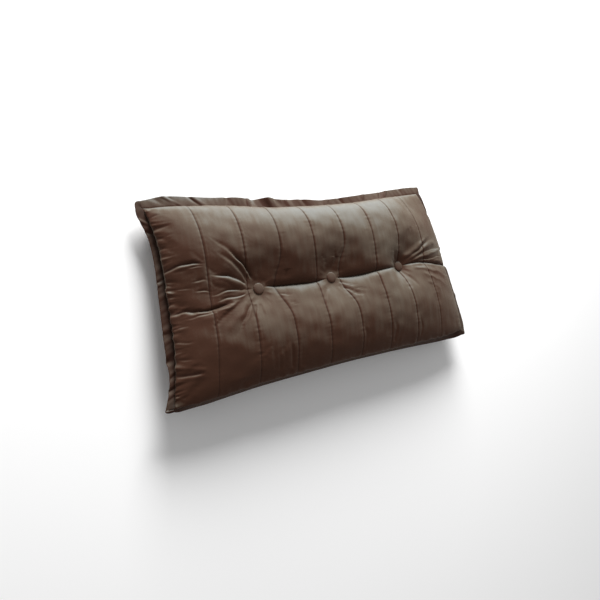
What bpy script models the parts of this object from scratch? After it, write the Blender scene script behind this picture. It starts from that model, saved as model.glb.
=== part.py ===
"""A long velvet backrest cushion with a flat flange and three covered buttons, lying on its back.

+X runs along the cushion's length, +Y towards its top edge and +Z out of its face. The back rests on z = 0
and the origin is under the middle of the whole cushion. All sizes are in metres.
"""

import math

import bmesh
import bpy

# Driving sizes of the stitched face, inside the flange
FACE_LENGTH = 0.950
FACE_HEIGHT = 0.450
PANEL_COUNT = 9
TAPER = 0.014
STITCH_LINE_Z = 0.062
STITCH_LINE_TILT = 0.015
CROWN_HEIGHT = 0.088
CLEARANCE = 0.0003

# Where the whole cushion's middle lies, so that the origin comes out under it
MIDDLE_X = -0.0005
MIDDLE_Y = -0.00145

# How far the sides are drawn in between the corners
DRAW_IN_LEFT = 0.024
DRAW_IN_RIGHT = 0.010
DRAW_IN_BOTTOM = -0.006
DRAW_IN_TOP = 0.003
DRAW_IN_REACH = 6

# The long dips and swells of the top edge, with along and width as shares of half the length
TOP_EDGE_COLUMNS = ("along", "width", "draw_in")
TOP_EDGE_BENDS = (
    (-0.62, 0.28, -0.008),
    (0.22, 0.42, 0.017),
)

# The crown's section along the length and across it: how square it is, and how fast it leaves the stitch line
LENGTH_SQUARENESS = 2.5
LENGTH_RISE = 0.50
CROSS_SQUARENESS = 3.5
CROSS_RISE = 0.48

# The dip along the middle, and the sharp crease in it that starts at the left button
CREASE_Y = -0.012
VALLEY_DEPTH = 0.018
VALLEY_WIDTH = 0.075
CREASE_DEPTH = 0.026
CREASE_WIDTH = 0.024
CREASE_START = 0.020
CREASE_FADE = 0.015
FILLED_SHARE = 0.80

# Covered buttons and the wells they pull into the face
LEFT_BUTTON_X = -0.232
BUTTON_COLUMNS = ("name", "x", "y", "floor_above_stitch_line")
BUTTONS = (
    ("button_left", LEFT_BUTTON_X, -0.010, 0.041),
    ("button_middle", -0.002, -0.011, 0.043),
    ("button_right", 0.262, -0.008, 0.037),
)
BUTTON_RADIUS = 0.0175
BUTTON_EDGE = 0.004
BUTTON_EDGE_ROUND = 0.0015
BUTTON_DOME = 0.009
BUTTON_SIDES = 24
BUTTON_RINGS = 5
WELL_FLOOR_RADIUS = 0.0215
WELL_REACH = 0.042
WELL_SOFTNESS = 1.5

# How the buttons draw the cloth and its seams towards them, more from the right than from the left
GATHER = 0.024
GATHER_DISTANCE = 0.060
GATHER_WIDTH = 0.028
GATHER_LEFT_SHARE = 0.25
GATHER_TURN = 0.020

# Sewn channels between the panels
CHANNEL_DEPTH = 0.0040
CHANNEL_HALF_WIDTH = 0.0055

# Main folds: each runs straight from a start to an end, a ridge where the height is positive
FOLD_COLUMNS = ("start_x", "start_y", "end_x", "end_y", "half_width", "height")
FOLDS = (
    # fan to the left of the left button
    (-0.246, 0.012, -0.330, 0.125, 0.012, -0.0090),
    (-0.258, 0.020, -0.350, 0.100, 0.011, 0.0060),
    (-0.264, 0.006, -0.410, 0.050, 0.011, -0.0080),
    (-0.268, -0.006, -0.400, 0.010, 0.010, 0.0050),
    (-0.268, -0.016, -0.380, -0.024, 0.009, -0.0065),
    (-0.272, -0.030, -0.455, -0.048, 0.010, -0.0095),
    (-0.280, -0.046, -0.455, -0.068, 0.012, 0.0080),
    (-0.262, -0.042, -0.318, -0.115, 0.012, -0.0070),
    (-0.240, -0.046, -0.262, -0.120, 0.012, 0.0050),
    # puckers along the left end
    (-0.468, 0.070, -0.360, 0.074, 0.015, -0.0110),
    (-0.468, 0.044, -0.370, 0.050, 0.014, 0.0070),
    (-0.468, 0.160, -0.405, 0.157, 0.016, -0.0070),
    (-0.468, -0.100, -0.420, -0.099, 0.015, -0.0060),
    (-0.468, -0.163, -0.395, -0.160, 0.016, -0.0105),
    # fan to the right of the right button
    (0.280, 0.014, 0.455, 0.105, 0.013, -0.0095),
    (0.288, 0.004, 0.462, 0.050, 0.012, 0.0080),
    (0.286, -0.024, 0.458, -0.046, 0.011, 0.0070),
    (0.296, -0.034, 0.430, -0.100, 0.012, -0.0080),
    # beside the middle button
    (0.020, -0.028, 0.038, -0.095, 0.012, -0.0070),
    (0.032, -0.024, 0.085, -0.080, 0.012, 0.0045),
    (-0.024, 0.010, -0.050, 0.060, 0.012, -0.0050),
)
FOLD_TAPER = 0.35

# Broad hollows: above and to the right of each button, and in the slack top right corner
HOLLOW_COLUMNS = ("x", "y", "reach", "depth")
HOLLOWS = (
    (-0.185, 0.055, 0.042, 0.006),
    (0.040, 0.052, 0.042, 0.006),
    (0.300, 0.060, 0.045, 0.006),
    (0.400, 0.185, 0.060, 0.012),
)

# Flange: a doubled strip on each side, with the angle at which its middle leaves the stitch line
FLANGE_WIDTH = 0.027
FLANGE_THICKNESS = 0.003
FLANGE_CORNER_SPAN = 6
MITRE_SHIFT = 0.00045
FLANGE_COLUMNS = ("name", "side", "angle_deg")
FLANGES = (
    ("flange_top", "top", -4.0),
    ("flange_bottom", "bottom", -48.0),
    ("flange_left", "left", 18.0),
    ("flange_right", "right", -22.0),
)
CORNER_COLUMNS = ("right", "up", "out_x", "out_y", "lift")
FLANGE_CORNERS = (
    (-1, 1, 0.026, 0.026, -0.003),
    (1, 1, 0.026, 0.028, -0.004),
    (1, -1, 0.027, 0.025, -0.002),
    (-1, -1, 0.028, 0.033, 0.009),
)

# Ripples of the flange's free edge: along as a share of half the side, then width, lift and pull inwards
RIPPLE_COLUMNS = ("side", "along", "width", "lift", "pull_in")
RIPPLES = (
    ("top", -0.80, 0.07, 0.005, 0.000),
    ("top", -0.60, 0.08, -0.004, 0.001),
    ("top", -0.30, 0.05, -0.006, 0.003),
    ("top", -0.12, 0.07, 0.005, -0.001),
    ("top", 0.08, 0.08, -0.004, 0.002),
    ("top", 0.36, 0.09, 0.005, -0.001),
    ("top", 0.62, 0.07, -0.004, 0.001),
    ("top", 0.80, 0.06, 0.004, -0.001),
    ("bottom", -0.55, 0.12, 0.003, 0.001),
    ("bottom", -0.10, 0.14, -0.003, 0.000),
    ("bottom", 0.40, 0.12, 0.003, 0.001),
    ("left", 0.70, 0.10, 0.003, 0.002),
    ("left", 0.20, 0.12, -0.003, 0.001),
    ("left", -0.30, 0.12, 0.003, 0.000),
    ("left", -0.76, 0.11, -0.008, 0.012),
    ("right", 0.45, 0.12, 0.003, 0.001),
    ("right", -0.05, 0.10, -0.004, 0.003),
    ("right", -0.55, 0.12, 0.003, 0.000),
)

# Back: how small its flat base is, and the inset rings that lead down to it
BASE_SHARE = 0.66
BACK_RING_SCALES = (0.985, 0.95, 0.88, 0.78)
BACK_SQUARENESS = 2.2

# Mesh columns across one panel, from its left seam to its right one
PLAIN_PANEL = (0.0, 0.05, 0.27, 0.50, 0.73, 0.95)
FOLDED_PANEL = (0.0, 0.05, 0.17, 0.31, 0.45, 0.59, 0.72, 0.84, 0.95)
LEFT_END_PANEL = (0.0, 0.025, 0.08, 0.18, 0.34, 0.55, 0.76, 0.95)
RIGHT_END_PANEL = (0.0, 0.05, 0.24, 0.45, 0.66, 0.82, 0.92, 0.975)
LEFT_BUTTON_PANEL = (0.0, 0.05, 0.15, 0.30, 0.45, 0.60, 0.79, 0.95)
MIDDLE_BUTTON_PANEL = (0.0, 0.05, 0.20, 0.35, 0.50, 0.65, 0.80, 0.95)
BEFORE_RIGHT_BUTTON_PANEL = (0.0, 0.05, 0.28, 0.50, 0.70, 0.85, 0.95)
AFTER_RIGHT_BUTTON_PANEL = (0.0, 0.05, 0.15, 0.30, 0.50, 0.73, 0.95)
PANELS = (
    LEFT_END_PANEL,
    FOLDED_PANEL,
    LEFT_BUTTON_PANEL,
    PLAIN_PANEL,
    MIDDLE_BUTTON_PANEL,
    PLAIN_PANEL,
    BEFORE_RIGHT_BUTTON_PANEL,
    AFTER_RIGHT_BUTTON_PANEL,
    RIGHT_END_PANEL,
)

# Mesh rows from the crease to the stitch line, closest where the face bends most
FOLDED_ROWS = (0.0, 0.017, 0.042, 0.076, 0.114, 0.152, 0.190, 0.228, 0.266, 0.308, 0.354)
OUTER_ROWS = (0.405, 0.464, 0.532, 0.612, 0.696, 0.776, 0.848, 0.907, 0.954, 0.985)
HALF_ROWS = FOLDED_ROWS + OUTER_ROWS

# Finishes: colour, roughness and metallic value, and the angle below which an edge is shaded smooth
SMOOTH_BELOW_DEG = 50
FINISH_COLUMNS = ("colour", "roughness", "metallic")
FACE_VELVET = ((0.120, 0.094, 0.078, 1.0), 0.85, 0.0)
FLANGE_VELVET = ((0.105, 0.080, 0.066, 1.0), 0.85, 0.0)
BUTTON_VELVET = ((0.110, 0.085, 0.070, 1.0), 0.80, 0.0)

HALF_LENGTH = FACE_LENGTH / 2
HALF_HEIGHT = FACE_HEIGHT / 2


def rows_of(table, columns):
    """The rows of a table as dictionaries keyed by its column names."""
    return [dict(zip(columns, row)) for row in table]


def bell(distance, width):
    """1 at no distance, falling smoothly to nothing over about twice the width."""
    return math.exp(-((distance / width) ** 2))


def between(low, high, share):
    """The value at a share of the way from low to high."""
    return low + (high - low) * share


def clear_scene():
    """Removes whatever the scene holds."""
    for thing in list(bpy.data.objects):
        bpy.data.objects.remove(thing, do_unlink=True)


def column_places():
    """The mesh columns across the face, from -1 at the left stitch line to 1 at the right one."""
    places = [(panel + share) / PANEL_COUNT for panel, shares in enumerate(PANELS) for share in shares]
    return [2 * place - 1 for place in places] + [1.0]


def row_places():
    """The mesh rows up the face, from -1 at the bottom stitch line to 1 at the top one."""
    crease = CREASE_Y / HALF_HEIGHT
    lower = [between(crease, -1.0, share) for share in reversed(HALF_ROWS[1:])]
    upper = [between(crease, 1.0, share) for share in HALF_ROWS]
    return [-1.0] + lower + upper + [1.0]


def top_draw_in(across):
    """How far the top stitch line is drawn in at a place from -1 to 1 along it."""
    bends = sum(
        bend["draw_in"] * bell(across - bend["along"], bend["width"])
        for bend in rows_of(TOP_EDGE_BENDS, TOP_EDGE_COLUMNS)
    )
    return (bends + DRAW_IN_TOP) * (1 - across**4)


def on_plan(across, up):
    """Where a point of the stitched face lies in plan, before the buttons gather the cloth."""
    x = across * (HALF_LENGTH - TAPER * up)
    y = up * HALF_HEIGHT
    if across < 0:
        x += DRAW_IN_LEFT * (1 - up**4) * abs(across) ** DRAW_IN_REACH
    else:
        x -= DRAW_IN_RIGHT * (1 - up**2) * across**DRAW_IN_REACH
    if up < 0:
        y += DRAW_IN_BOTTOM * (1 - across**2) * abs(up) ** DRAW_IN_REACH
    else:
        y -= top_draw_in(across) * up**DRAW_IN_REACH
    return x, y


def gathered(x, y):
    """The same point once each button has drawn the cloth beside it closer."""
    for button in rows_of(BUTTONS, BUTTON_COLUMNS):
        aside = x - button["x"]
        distance = math.hypot(aside, y - button["y"])
        if distance < CLEARANCE:
            continue
        share = between(GATHER_LEFT_SHARE, 1.0, 0.5 + 0.5 * math.tanh(aside / GATHER_TURN))
        pull = GATHER * share * bell(distance - GATHER_DISTANCE, GATHER_WIDTH)
        x -= pull * aside / distance
    return x, y


def stitch_line_z(up):
    """The height of the stitch line, lower along the top edge than along the bottom one."""
    return STITCH_LINE_Z - STITCH_LINE_TILT * up


def fullness(across, up):
    """The crown's height as a share of its largest, 0 at the stitch line."""
    along = max(0.0, 1 - abs(across) ** LENGTH_SQUARENESS) ** LENGTH_RISE
    over = max(0.0, 1 - abs(up) ** CROSS_SQUARENESS) ** CROSS_RISE
    return along * over


def fold_height(x, y, fold):
    """How far one fold raises the face at a point, or lowers it."""
    run_x = fold["end_x"] - fold["start_x"]
    run_y = fold["end_y"] - fold["start_y"]
    length = math.hypot(run_x, run_y)
    along = ((x - fold["start_x"]) * run_x + (y - fold["start_y"]) * run_y) / length**2
    aside = ((x - fold["start_x"]) * run_y - (y - fold["start_y"]) * run_x) / length
    if along < 0:
        ending = bell(along * length, fold["half_width"])
    else:
        ending = bell(max(0.0, along - 1 + FOLD_TAPER), FOLD_TAPER)
    return fold["height"] * ending * bell(aside, fold["half_width"])


def channel_depth(across):
    """How deep the sewn channels are at a place from -1 to 1 along the face."""
    panels_along = (across + 1) / 2 * PANEL_COUNT
    nearest = round(panels_along)
    if nearest in (0, PANEL_COUNT):
        return 0.0
    distance = abs(panels_along - nearest) * FACE_LENGTH / PANEL_COUNT
    return CHANNEL_DEPTH * max(0.0, 1 - distance / CHANNEL_HALF_WIDTH)


def face_point(across, up):
    """The point of the filled face at a place from -1 to 1 along it and up it."""
    x, y = gathered(*on_plan(across, up))
    full = fullness(across, up)
    filled = min(1.0, full / FILLED_SHARE)
    z = stitch_line_z(up) + CROWN_HEIGHT * full + STITCH_LINE_TILT * up * full
    off_crease = y - CREASE_Y
    started = 1 / (1 + math.exp(-(x - LEFT_BUTTON_X + CREASE_START) / CREASE_FADE))
    z -= VALLEY_DEPTH * bell(off_crease, VALLEY_WIDTH) * filled
    z -= CREASE_DEPTH * math.exp(-abs(off_crease) / CREASE_WIDTH) * started * filled
    for hollow in rows_of(HOLLOWS, HOLLOW_COLUMNS):
        away = math.hypot(x - hollow["x"], y - hollow["y"])
        z -= hollow["depth"] * bell(away, hollow["reach"]) * filled
    for fold in rows_of(FOLDS, FOLD_COLUMNS):
        z += fold_height(x, y, fold) * filled
    z -= channel_depth(across) * filled
    for button in rows_of(BUTTONS, BUTTON_COLUMNS):
        away = math.hypot(x - button["x"], y - button["y"])
        beyond = max(0.0, away - WELL_FLOOR_RADIUS) / WELL_REACH
        share = 1 - math.exp(-(beyond**WELL_SOFTNESS))
        z = between(STITCH_LINE_Z + button["floor_above_stitch_line"], z, share)
    return x, y, z


def to_origin(x, y, z):
    """Moves a point so that the whole cushion's middle stands over the origin."""
    return x - MIDDLE_X, y - MIDDLE_Y, z


def velvet(name, finish):
    """A material with one finish of the velvet."""
    values = dict(zip(FINISH_COLUMNS, finish))
    material = bpy.data.materials.new(name)
    material.use_nodes = True
    shader = material.node_tree.nodes["Principled BSDF"]
    shader.inputs["Base Color"].default_value = values["colour"]
    shader.inputs["Roughness"].default_value = values["roughness"]
    shader.inputs["Metallic"].default_value = values["metallic"]
    return material


def finished_object(name, shape, finish, place=(0.0, 0.0, 0.0)):
    """Turns a bmesh into a smooth shaded object of that name in the scene."""
    bmesh.ops.recalc_face_normals(shape, faces=shape.faces)
    mesh = bpy.data.meshes.new(name)
    shape.to_mesh(mesh)
    shape.free()
    mesh.shade_smooth()
    mesh.set_sharp_from_angle(angle=math.radians(SMOOTH_BELOW_DEG))
    mesh.materials.append(velvet(name, finish))
    thing = bpy.data.objects.new(name, mesh)
    thing.location = place
    bpy.context.scene.collection.objects.link(thing)
    return thing


def join_rings(shape, first, second):
    """Fills the band between two closed rings that have as many points as each other."""
    for k in range(len(first)):
        after = (k + 1) % len(first)
        shape.faces.new((first[k], first[after], second[after], second[k]))


def outline_of(grid):
    """The grid's outer points in order, once round."""
    bottom = grid[0]
    right = [row[-1] for row in grid[1:]]
    top = grid[-1][-2::-1]
    left = [row[0] for row in grid[-2:0:-1]]
    return bottom + right + top + left


def build_cushion():
    """The filled body: crowned face, thin wall at the stitch line, and a back down to a flat base."""
    shape = bmesh.new()
    columns = column_places()
    grid = []
    for up in row_places():
        points = [to_origin(*face_point(across, up)) for across in columns]
        grid.append([shape.verts.new(point) for point in points])
    for low, high in zip(grid, grid[1:]):
        for k in range(len(columns) - 1):
            shape.faces.new((low[k], low[k + 1], high[k + 1], high[k]))
    edge = outline_of(grid)
    for point in edge:
        point.co.z += FLANGE_THICKNESS / 2
    wall = [shape.verts.new((point.co.x, point.co.y, point.co.z - FLANGE_THICKNESS)) for point in edge]
    join_rings(shape, edge, wall)
    above = wall
    for scale in BACK_RING_SCALES + (BASE_SHARE,):
        inner = ((scale - BASE_SHARE) / (1 - BASE_SHARE)) ** BACK_SQUARENESS
        height = 1 - math.sqrt(1 - inner)
        ring = [
            shape.verts.new((point.co.x * scale, point.co.y * scale, point.co.z * height)) for point in wall
        ]
        join_rings(shape, above, ring)
        above = ring
    shape.faces.new(above)
    return finished_object("cushion", shape, FACE_VELVET)


def corner_at(right, up):
    """The flange's corner on that side."""
    for corner in rows_of(FLANGE_CORNERS, CORNER_COLUMNS):
        if (corner["right"], corner["up"]) == (right, up):
            return corner
    raise ValueError("the flange has four corners")


def strip_section(side, along, angle):
    """The strip's inner, middle and outer points at a place along its side, from -1 to 1."""
    flat_side = side in ("top", "bottom")
    outward = 1 if side in ("top", "right") else -1
    across, up = (along, outward) if flat_side else (outward, along)
    x, y = on_plan(across, up)
    z = stitch_line_z(up)
    aside = (0.0, outward) if flat_side else (outward, 0.0)
    inner = (x + aside[0] * CLEARANCE, y + aside[1] * CLEARANCE, z)
    if abs(along) == 1:
        corner = corner_at(across, up)
        outer = (x + across * corner["out_x"], y + up * corner["out_y"], z + corner["lift"])
    else:
        middle = 1 - abs(along) ** FLANGE_CORNER_SPAN
        first = corner_at(*((-1, up) if flat_side else (across, -1)))
        last = corner_at(*((1, up) if flat_side else (across, 1)))
        key = "out_y" if flat_side else "out_x"
        share = (along + 1) / 2
        flat_reach = between(first[key], last[key], share)
        flat_lift = between(first["lift"], last["lift"], share)
        reach = between(flat_reach, FLANGE_WIDTH * math.cos(angle), middle)
        lift = between(flat_lift, FLANGE_WIDTH * math.sin(angle), middle)
        for ripple in rows_of(RIPPLES, RIPPLE_COLUMNS):
            if ripple["side"] == side:
                swell = bell(along - ripple["along"], ripple["width"]) * middle
                reach -= ripple["pull_in"] * swell
                lift += ripple["lift"] * swell
        outer = (x + aside[0] * reach, y + aside[1] * reach, z + lift)
    if flat_side and abs(along) == 1:
        inner = (inner[0] - along * MITRE_SHIFT, inner[1], inner[2])
        outer = (outer[0] - along * MITRE_SHIFT, outer[1], outer[2])
    centre = tuple(between(near, far, 0.5) for near, far in zip(inner, outer))
    return inner, centre, outer


def build_flange(name, side, angle_deg):
    """One side's strip of the flange, mitred at both ends."""
    shape = bmesh.new()
    places = column_places() if side in ("top", "bottom") else row_places()
    half = FLANGE_THICKNESS / 2
    sections = []
    for along in places:
        points = [to_origin(*point) for point in strip_section(side, along, math.radians(angle_deg))]
        over = [shape.verts.new((x, y, z + half)) for x, y, z in points]
        under = [shape.verts.new((x, y, z - half)) for x, y, z in reversed(points)]
        sections.append(over + under)
    for near, far in zip(sections, sections[1:]):
        join_rings(shape, near, far)
    shape.faces.new(sections[0])
    shape.faces.new(reversed(sections[-1]))
    return finished_object(name, shape, FLANGE_VELVET)


def button_profile():
    """The button's half section, from the rim of its flat base up to its top."""
    profile = [
        (BUTTON_RADIUS - BUTTON_EDGE_ROUND, 0.0),
        (BUTTON_RADIUS, BUTTON_EDGE_ROUND),
        (BUTTON_RADIUS, BUTTON_EDGE),
    ]
    for k in range(1, BUTTON_RINGS + 1):
        turn = math.pi / 2 * k / (BUTTON_RINGS + 1)
        profile.append((BUTTON_RADIUS * math.cos(turn), BUTTON_EDGE + BUTTON_DOME * math.sin(turn)))
    return profile


def build_button(name, x, y, floor_above_stitch_line):
    """One domed covered button, standing just clear of its well's floor."""
    shape = bmesh.new()
    rings = []
    for radius, height in button_profile():
        turns = [2 * math.pi * k / BUTTON_SIDES for k in range(BUTTON_SIDES)]
        rings.append(
            [shape.verts.new((radius * math.cos(t), radius * math.sin(t), height)) for t in turns]
        )
    for lower, upper in zip(rings, rings[1:]):
        join_rings(shape, lower, upper)
    shape.faces.new(rings[0])
    top = shape.verts.new((0.0, 0.0, BUTTON_EDGE + BUTTON_DOME))
    for k in range(BUTTON_SIDES):
        shape.faces.new((rings[-1][k], rings[-1][(k + 1) % BUTTON_SIDES], top))
    place = to_origin(x, y, STITCH_LINE_Z + floor_above_stitch_line + CLEARANCE)
    return finished_object(name, shape, BUTTON_VELVET, place)


def main():
    clear_scene()
    build_cushion()
    for flange in rows_of(FLANGES, FLANGE_COLUMNS):
        build_flange(flange["name"], flange["side"], flange["angle_deg"])
    for button in rows_of(BUTTONS, BUTTON_COLUMNS):
        build_button(**button)


main()
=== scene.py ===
"""The looks of a long velvet backrest cushion: a panelled, creased face with three covered buttons.

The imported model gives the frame: +X along the cushion, +Y to its top edge, +Z out of its face, and the back
on z = 0. Sizes are in metres, but those in the tables of patches, folds, courses and pleats in millimetres.
"""

import logging
import math
from dataclasses import dataclass, field
from enum import Enum

import bpy
import numpy as np
from mathutils import Matrix, Vector


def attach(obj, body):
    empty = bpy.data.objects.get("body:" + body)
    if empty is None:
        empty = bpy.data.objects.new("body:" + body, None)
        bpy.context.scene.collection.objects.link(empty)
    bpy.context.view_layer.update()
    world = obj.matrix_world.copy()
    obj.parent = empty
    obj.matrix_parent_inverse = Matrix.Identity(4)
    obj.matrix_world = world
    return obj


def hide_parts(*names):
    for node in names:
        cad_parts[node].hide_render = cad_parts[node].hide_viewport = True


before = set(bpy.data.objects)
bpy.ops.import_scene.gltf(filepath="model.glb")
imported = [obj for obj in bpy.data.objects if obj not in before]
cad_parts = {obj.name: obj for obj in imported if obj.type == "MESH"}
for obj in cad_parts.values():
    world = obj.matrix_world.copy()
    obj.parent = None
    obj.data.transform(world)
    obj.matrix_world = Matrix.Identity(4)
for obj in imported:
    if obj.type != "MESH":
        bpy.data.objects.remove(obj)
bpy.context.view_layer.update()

Array = np.ndarray
Point = tuple[float, float]
Row = tuple[float, ...]
Colour = tuple[float, float, float, float]
Faces = list[tuple[int, ...]]
Places = tuple[Array, Array]
Piece = bpy.types.Object
Socket = bpy.types.NodeSocket

BODY = "root"
# Point marks: painted shade along the seams, the left edge and fold crevices, and painted light and shade in
# patches
PAINTED_SHADE_MARK = "seam"
PAINTED_LIGHT_AND_SHADE_MARK = "painted_light_and_shade"
MM = 1000.0  # millimetres in a metre
FULL_TURN = 2 * math.pi
QUARTER_TURN = math.pi / 2
TINY = 1e-9  # keeps a length from being nothing where it divides
log = logging.getLogger("velvet_cushion")


# ---- small helpers


def bell(distance: Array, width: float) -> Array:
    """1 at no distance, falling smoothly to nothing over about twice the width."""
    return np.exp(-((distance / width) ** 2))


def tail(distance: Array, width: float) -> Array:
    """1 at no distance, in a sharp peak, falling to nothing over about three times the width."""
    return np.exp(-np.abs(distance) / width)


def swell(distance: Array, peak: float) -> Array:
    """0 at no distance, 1 at the peak, and falling slowly beyond it."""
    return distance / peak * np.exp(1 - distance / peak)


def between(low: Array, high: Array, share: Array) -> Array:
    """The value at a share of the way from low to high."""
    return low + (high - low) * share


def eased(share: Array) -> Array:
    """A share from 0 to 1 that starts and ends gently."""
    held = np.clip(share, 0.0, 1.0)
    return held * held * (3.0 - 2.0 * held)


def crowded_places(count: int, crowding: float) -> Array:
    """Places from 0 to 1 that stand closer together towards both ends.

    Args:
        count: How many steps there are.
        crowding: 0 for even steps, up to 1 for the closest ends.

    Returns:
        count + 1 places, of which the first is 0 and the last is 1.
    """
    even = np.linspace(0.0, 1.0, count + 1)
    places = even - crowding * np.sin(FULL_TURN * even) / FULL_TURN
    places[0], places[-1] = 0.0, 1.0
    return places


def curve_weights(knots: Array, places: Array) -> Array:
    """The weights with which smooth curve values at the places follow from values at the knots.

    Args:
        knots: Rising places of the known values.
        places: Where values are wanted, within the knots' range.

    Returns:
        A matrix with one row for each place and one column for each knot.
    """
    last = len(knots) - 1
    cell = np.clip(np.searchsorted(knots, places, side="right") - 1, 0, last - 1)
    share = (places - knots[cell]) / (knots[cell + 1] - knots[cell])
    squared, cubed = share**2, share**3
    parts = (
        (-1, -0.5 * share + squared - 0.5 * cubed),
        (0, 1 - 2.5 * squared + 1.5 * cubed),
        (1, 0.5 * share + 2 * squared - 1.5 * cubed),
        (2, -0.5 * squared + 0.5 * cubed),
    )
    weights = np.zeros((len(places), len(knots)))
    rows = np.arange(len(places))
    for step, part in parts:
        np.add.at(weights, (rows, np.clip(cell + step, 0, last)), part)
    return weights


def curve_through(points: tuple[Point, ...], places: Array) -> Array:
    """The values at the places of a smooth curve through points, each of which is a place and its value."""
    knots, values = np.array(points).T
    return (curve_weights(knots, np.clip(places, knots[0], knots[-1]).ravel()) @ values).reshape(places.shape)


def smooth_path(points: tuple[Point, ...], steps: int) -> Array:
    """A smooth line through a few points, as steps + 1 points."""
    knots = np.linspace(0.0, 1.0, len(points))
    return curve_weights(knots, np.linspace(0.0, 1.0, steps + 1)) @ np.array(points)


@dataclass(frozen=True)
class Waves:
    """A smooth uneven field, made of many plane waves of like lengths."""

    seed: int
    shortest: float
    longest: float
    count: int = 18

    def at(self, x: Array, y: Array) -> Array:
        """The field at points.

        Args:
            x, y: The points in plan.

        Returns:
            Values mostly between -1 and 1.
        """
        dice = np.random.default_rng(self.seed)
        total = np.zeros(np.broadcast(x, y).shape)
        for _ in range(self.count):
            length = dice.uniform(self.shortest, self.longest)
            turn = dice.uniform(0.0, FULL_TURN)
            start = dice.uniform(0.0, FULL_TURN)
            along = x * math.cos(turn) + y * math.sin(turn)
            total = total + np.cos(FULL_TURN * along / length + start)
        return total / math.sqrt(self.count)

    def along(self, places: Array) -> Array:
        """The same kind of unevenness along one line.

        Args:
            places: Places on the line.

        Returns:
            Values mostly between -1 and 1.
        """
        dice = np.random.default_rng(self.seed)
        total = np.zeros(places.shape)
        for _ in range(self.count):
            length = dice.uniform(self.shortest, self.longest)
            total = total + np.cos(FULL_TURN * places / length + dice.uniform(0.0, FULL_TURN))
        return total / math.sqrt(self.count)


def mark(piece: Piece, name: str, values: Array) -> None:
    """Stores one number for each point of a piece, for its finish to use."""
    attribute = piece.data.attributes.new(name, "FLOAT", "POINT")
    attribute.data.foreach_set("value", values.ravel())


def numbered(rows: int, columns: int) -> Array:
    """The numbers of a grid's points, row by row."""
    return np.arange(rows * columns).reshape(rows, columns)


def quads(numbers: Array, closed_rows: bool = False, closed_columns: bool = False) -> Faces:
    """The quads of a grid of points.

    Args:
        numbers: The points' numbers.
        closed_rows: Whether the last row meets the first.
        closed_columns: Whether the last column meets the first.

    Returns:
        The faces.
    """
    corners = np.pad(numbers, ((0, int(closed_rows)), (0, int(closed_columns))), mode="wrap")
    faces = np.stack((corners[:-1, :-1], corners[:-1, 1:], corners[1:, 1:], corners[1:, :-1]), axis=-1)
    return [tuple(face) for face in faces.reshape(-1, 4).tolist()]


def new_object(name: str, points: Array, faces: Faces, smooth: bool = True) -> Piece:
    """Makes an object from points and faces and links it to the scene.

    Args:
        name: The object's name.
        points: One row of x, y and z for each point.
        faces: The points of each face.
        smooth: Whether the faces are shaded smooth.

    Returns:
        The new object.
    """
    mesh = bpy.data.meshes.new(name)
    mesh.from_pydata(points.tolist(), [], faces)
    mesh.update()
    if smooth:
        mesh.shade_smooth()
    thing = bpy.data.objects.new(name, mesh)
    bpy.context.scene.collection.objects.link(thing)
    return thing


# ---- velvet


def feed(node: bpy.types.Node, values: dict[str | int, object]) -> None:
    """Sets a node's inputs, or links them.

    Args:
        node: The node.
        values: A plain value or another node's output for each named or numbered input.
    """
    for name, value in values.items():
        if isinstance(value, Socket):
            node.id_data.links.new(value, node.inputs[name])
        else:
            node.inputs[name].default_value = value


def add_node(
    tree: bpy.types.NodeTree, kind: str, values: dict[str | int, object], **settings: object
) -> bpy.types.Node:
    """Adds a node.

    Args:
        tree: The node tree that it goes into.
        kind: Its type.
        values: What its inputs are set to or linked with.
        settings: Its properties.

    Returns:
        The node.
    """
    made = tree.nodes.new(kind)
    for name, value in settings.items():
        setattr(made, name, value)
    feed(made, values)
    return made


class Sockets(Enum):
    """The kinds of socket that a shader node group has."""

    NUMBER = "NodeSocketFloat"
    COLOUR = "NodeSocketColor"


class NodeGroup:
    """A shader node group in the making: its sockets, nodes and links."""

    def __init__(self, name: str) -> None:
        """Starts an empty group.

        Args:
            name: The group's name.
        """
        self.tree = bpy.data.node_groups.new(name, "ShaderNodeTree")
        self.entry = self.tree.nodes.new("NodeGroupInput").outputs
        self.exit = self.tree.nodes.new("NodeGroupOutput")

    def socket(self, way: str, kind: Sockets, *names: str) -> None:
        """Adds named sockets of one kind, where the way is INPUT or OUTPUT."""
        for name in names:
            self.tree.interface.new_socket(name, in_out=way, socket_type=kind.value)

    def place(self) -> Socket:
        """Adds a Texture Coordinate node and gives the place on the object."""
        return self.tree.nodes.new("ShaderNodeTexCoord").outputs["Object"]

    def maths(self, operation: str, first: object, *others: object) -> Socket:
        """Adds a Math node for each of the others.

        Args:
            operation: What the nodes work out.
            first: A socket or a number.
            others: Sockets or numbers, each of which is worked out with the result so far.

        Returns:
            The last node's output.
        """
        result = first
        for other in others:
            result = add_node(self.tree, "ShaderNodeMath", {0: result, 1: other}, operation=operation).outputs[0]
        return result

    def noise(self, place: Socket, scale: object, detail: float) -> Socket:
        """Adds a Noise Texture and gives its plain output."""
        values = {"Detail": detail, "Vector": place, "Scale": scale}
        return add_node(self.tree, "ShaderNodeTexNoise", values).outputs["Fac"]

    def uneven(self, noise: Socket, share: object) -> Socket:
        """Gives a noise's ups and downs, as large as the share."""
        return self.maths("MULTIPLY", self.maths("SUBTRACT", noise, 0.5), share)

    def mixed(self, share: Socket, none: object, full: object) -> Socket:
        """Adds a Mix node from the colour at no share to the one at the full share."""
        values = {"Factor": share, "A": none, "B": full}
        return add_node(self.tree, "ShaderNodeMix", values, data_type="RGBA", clamp_factor=True).outputs["Result"]


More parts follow.
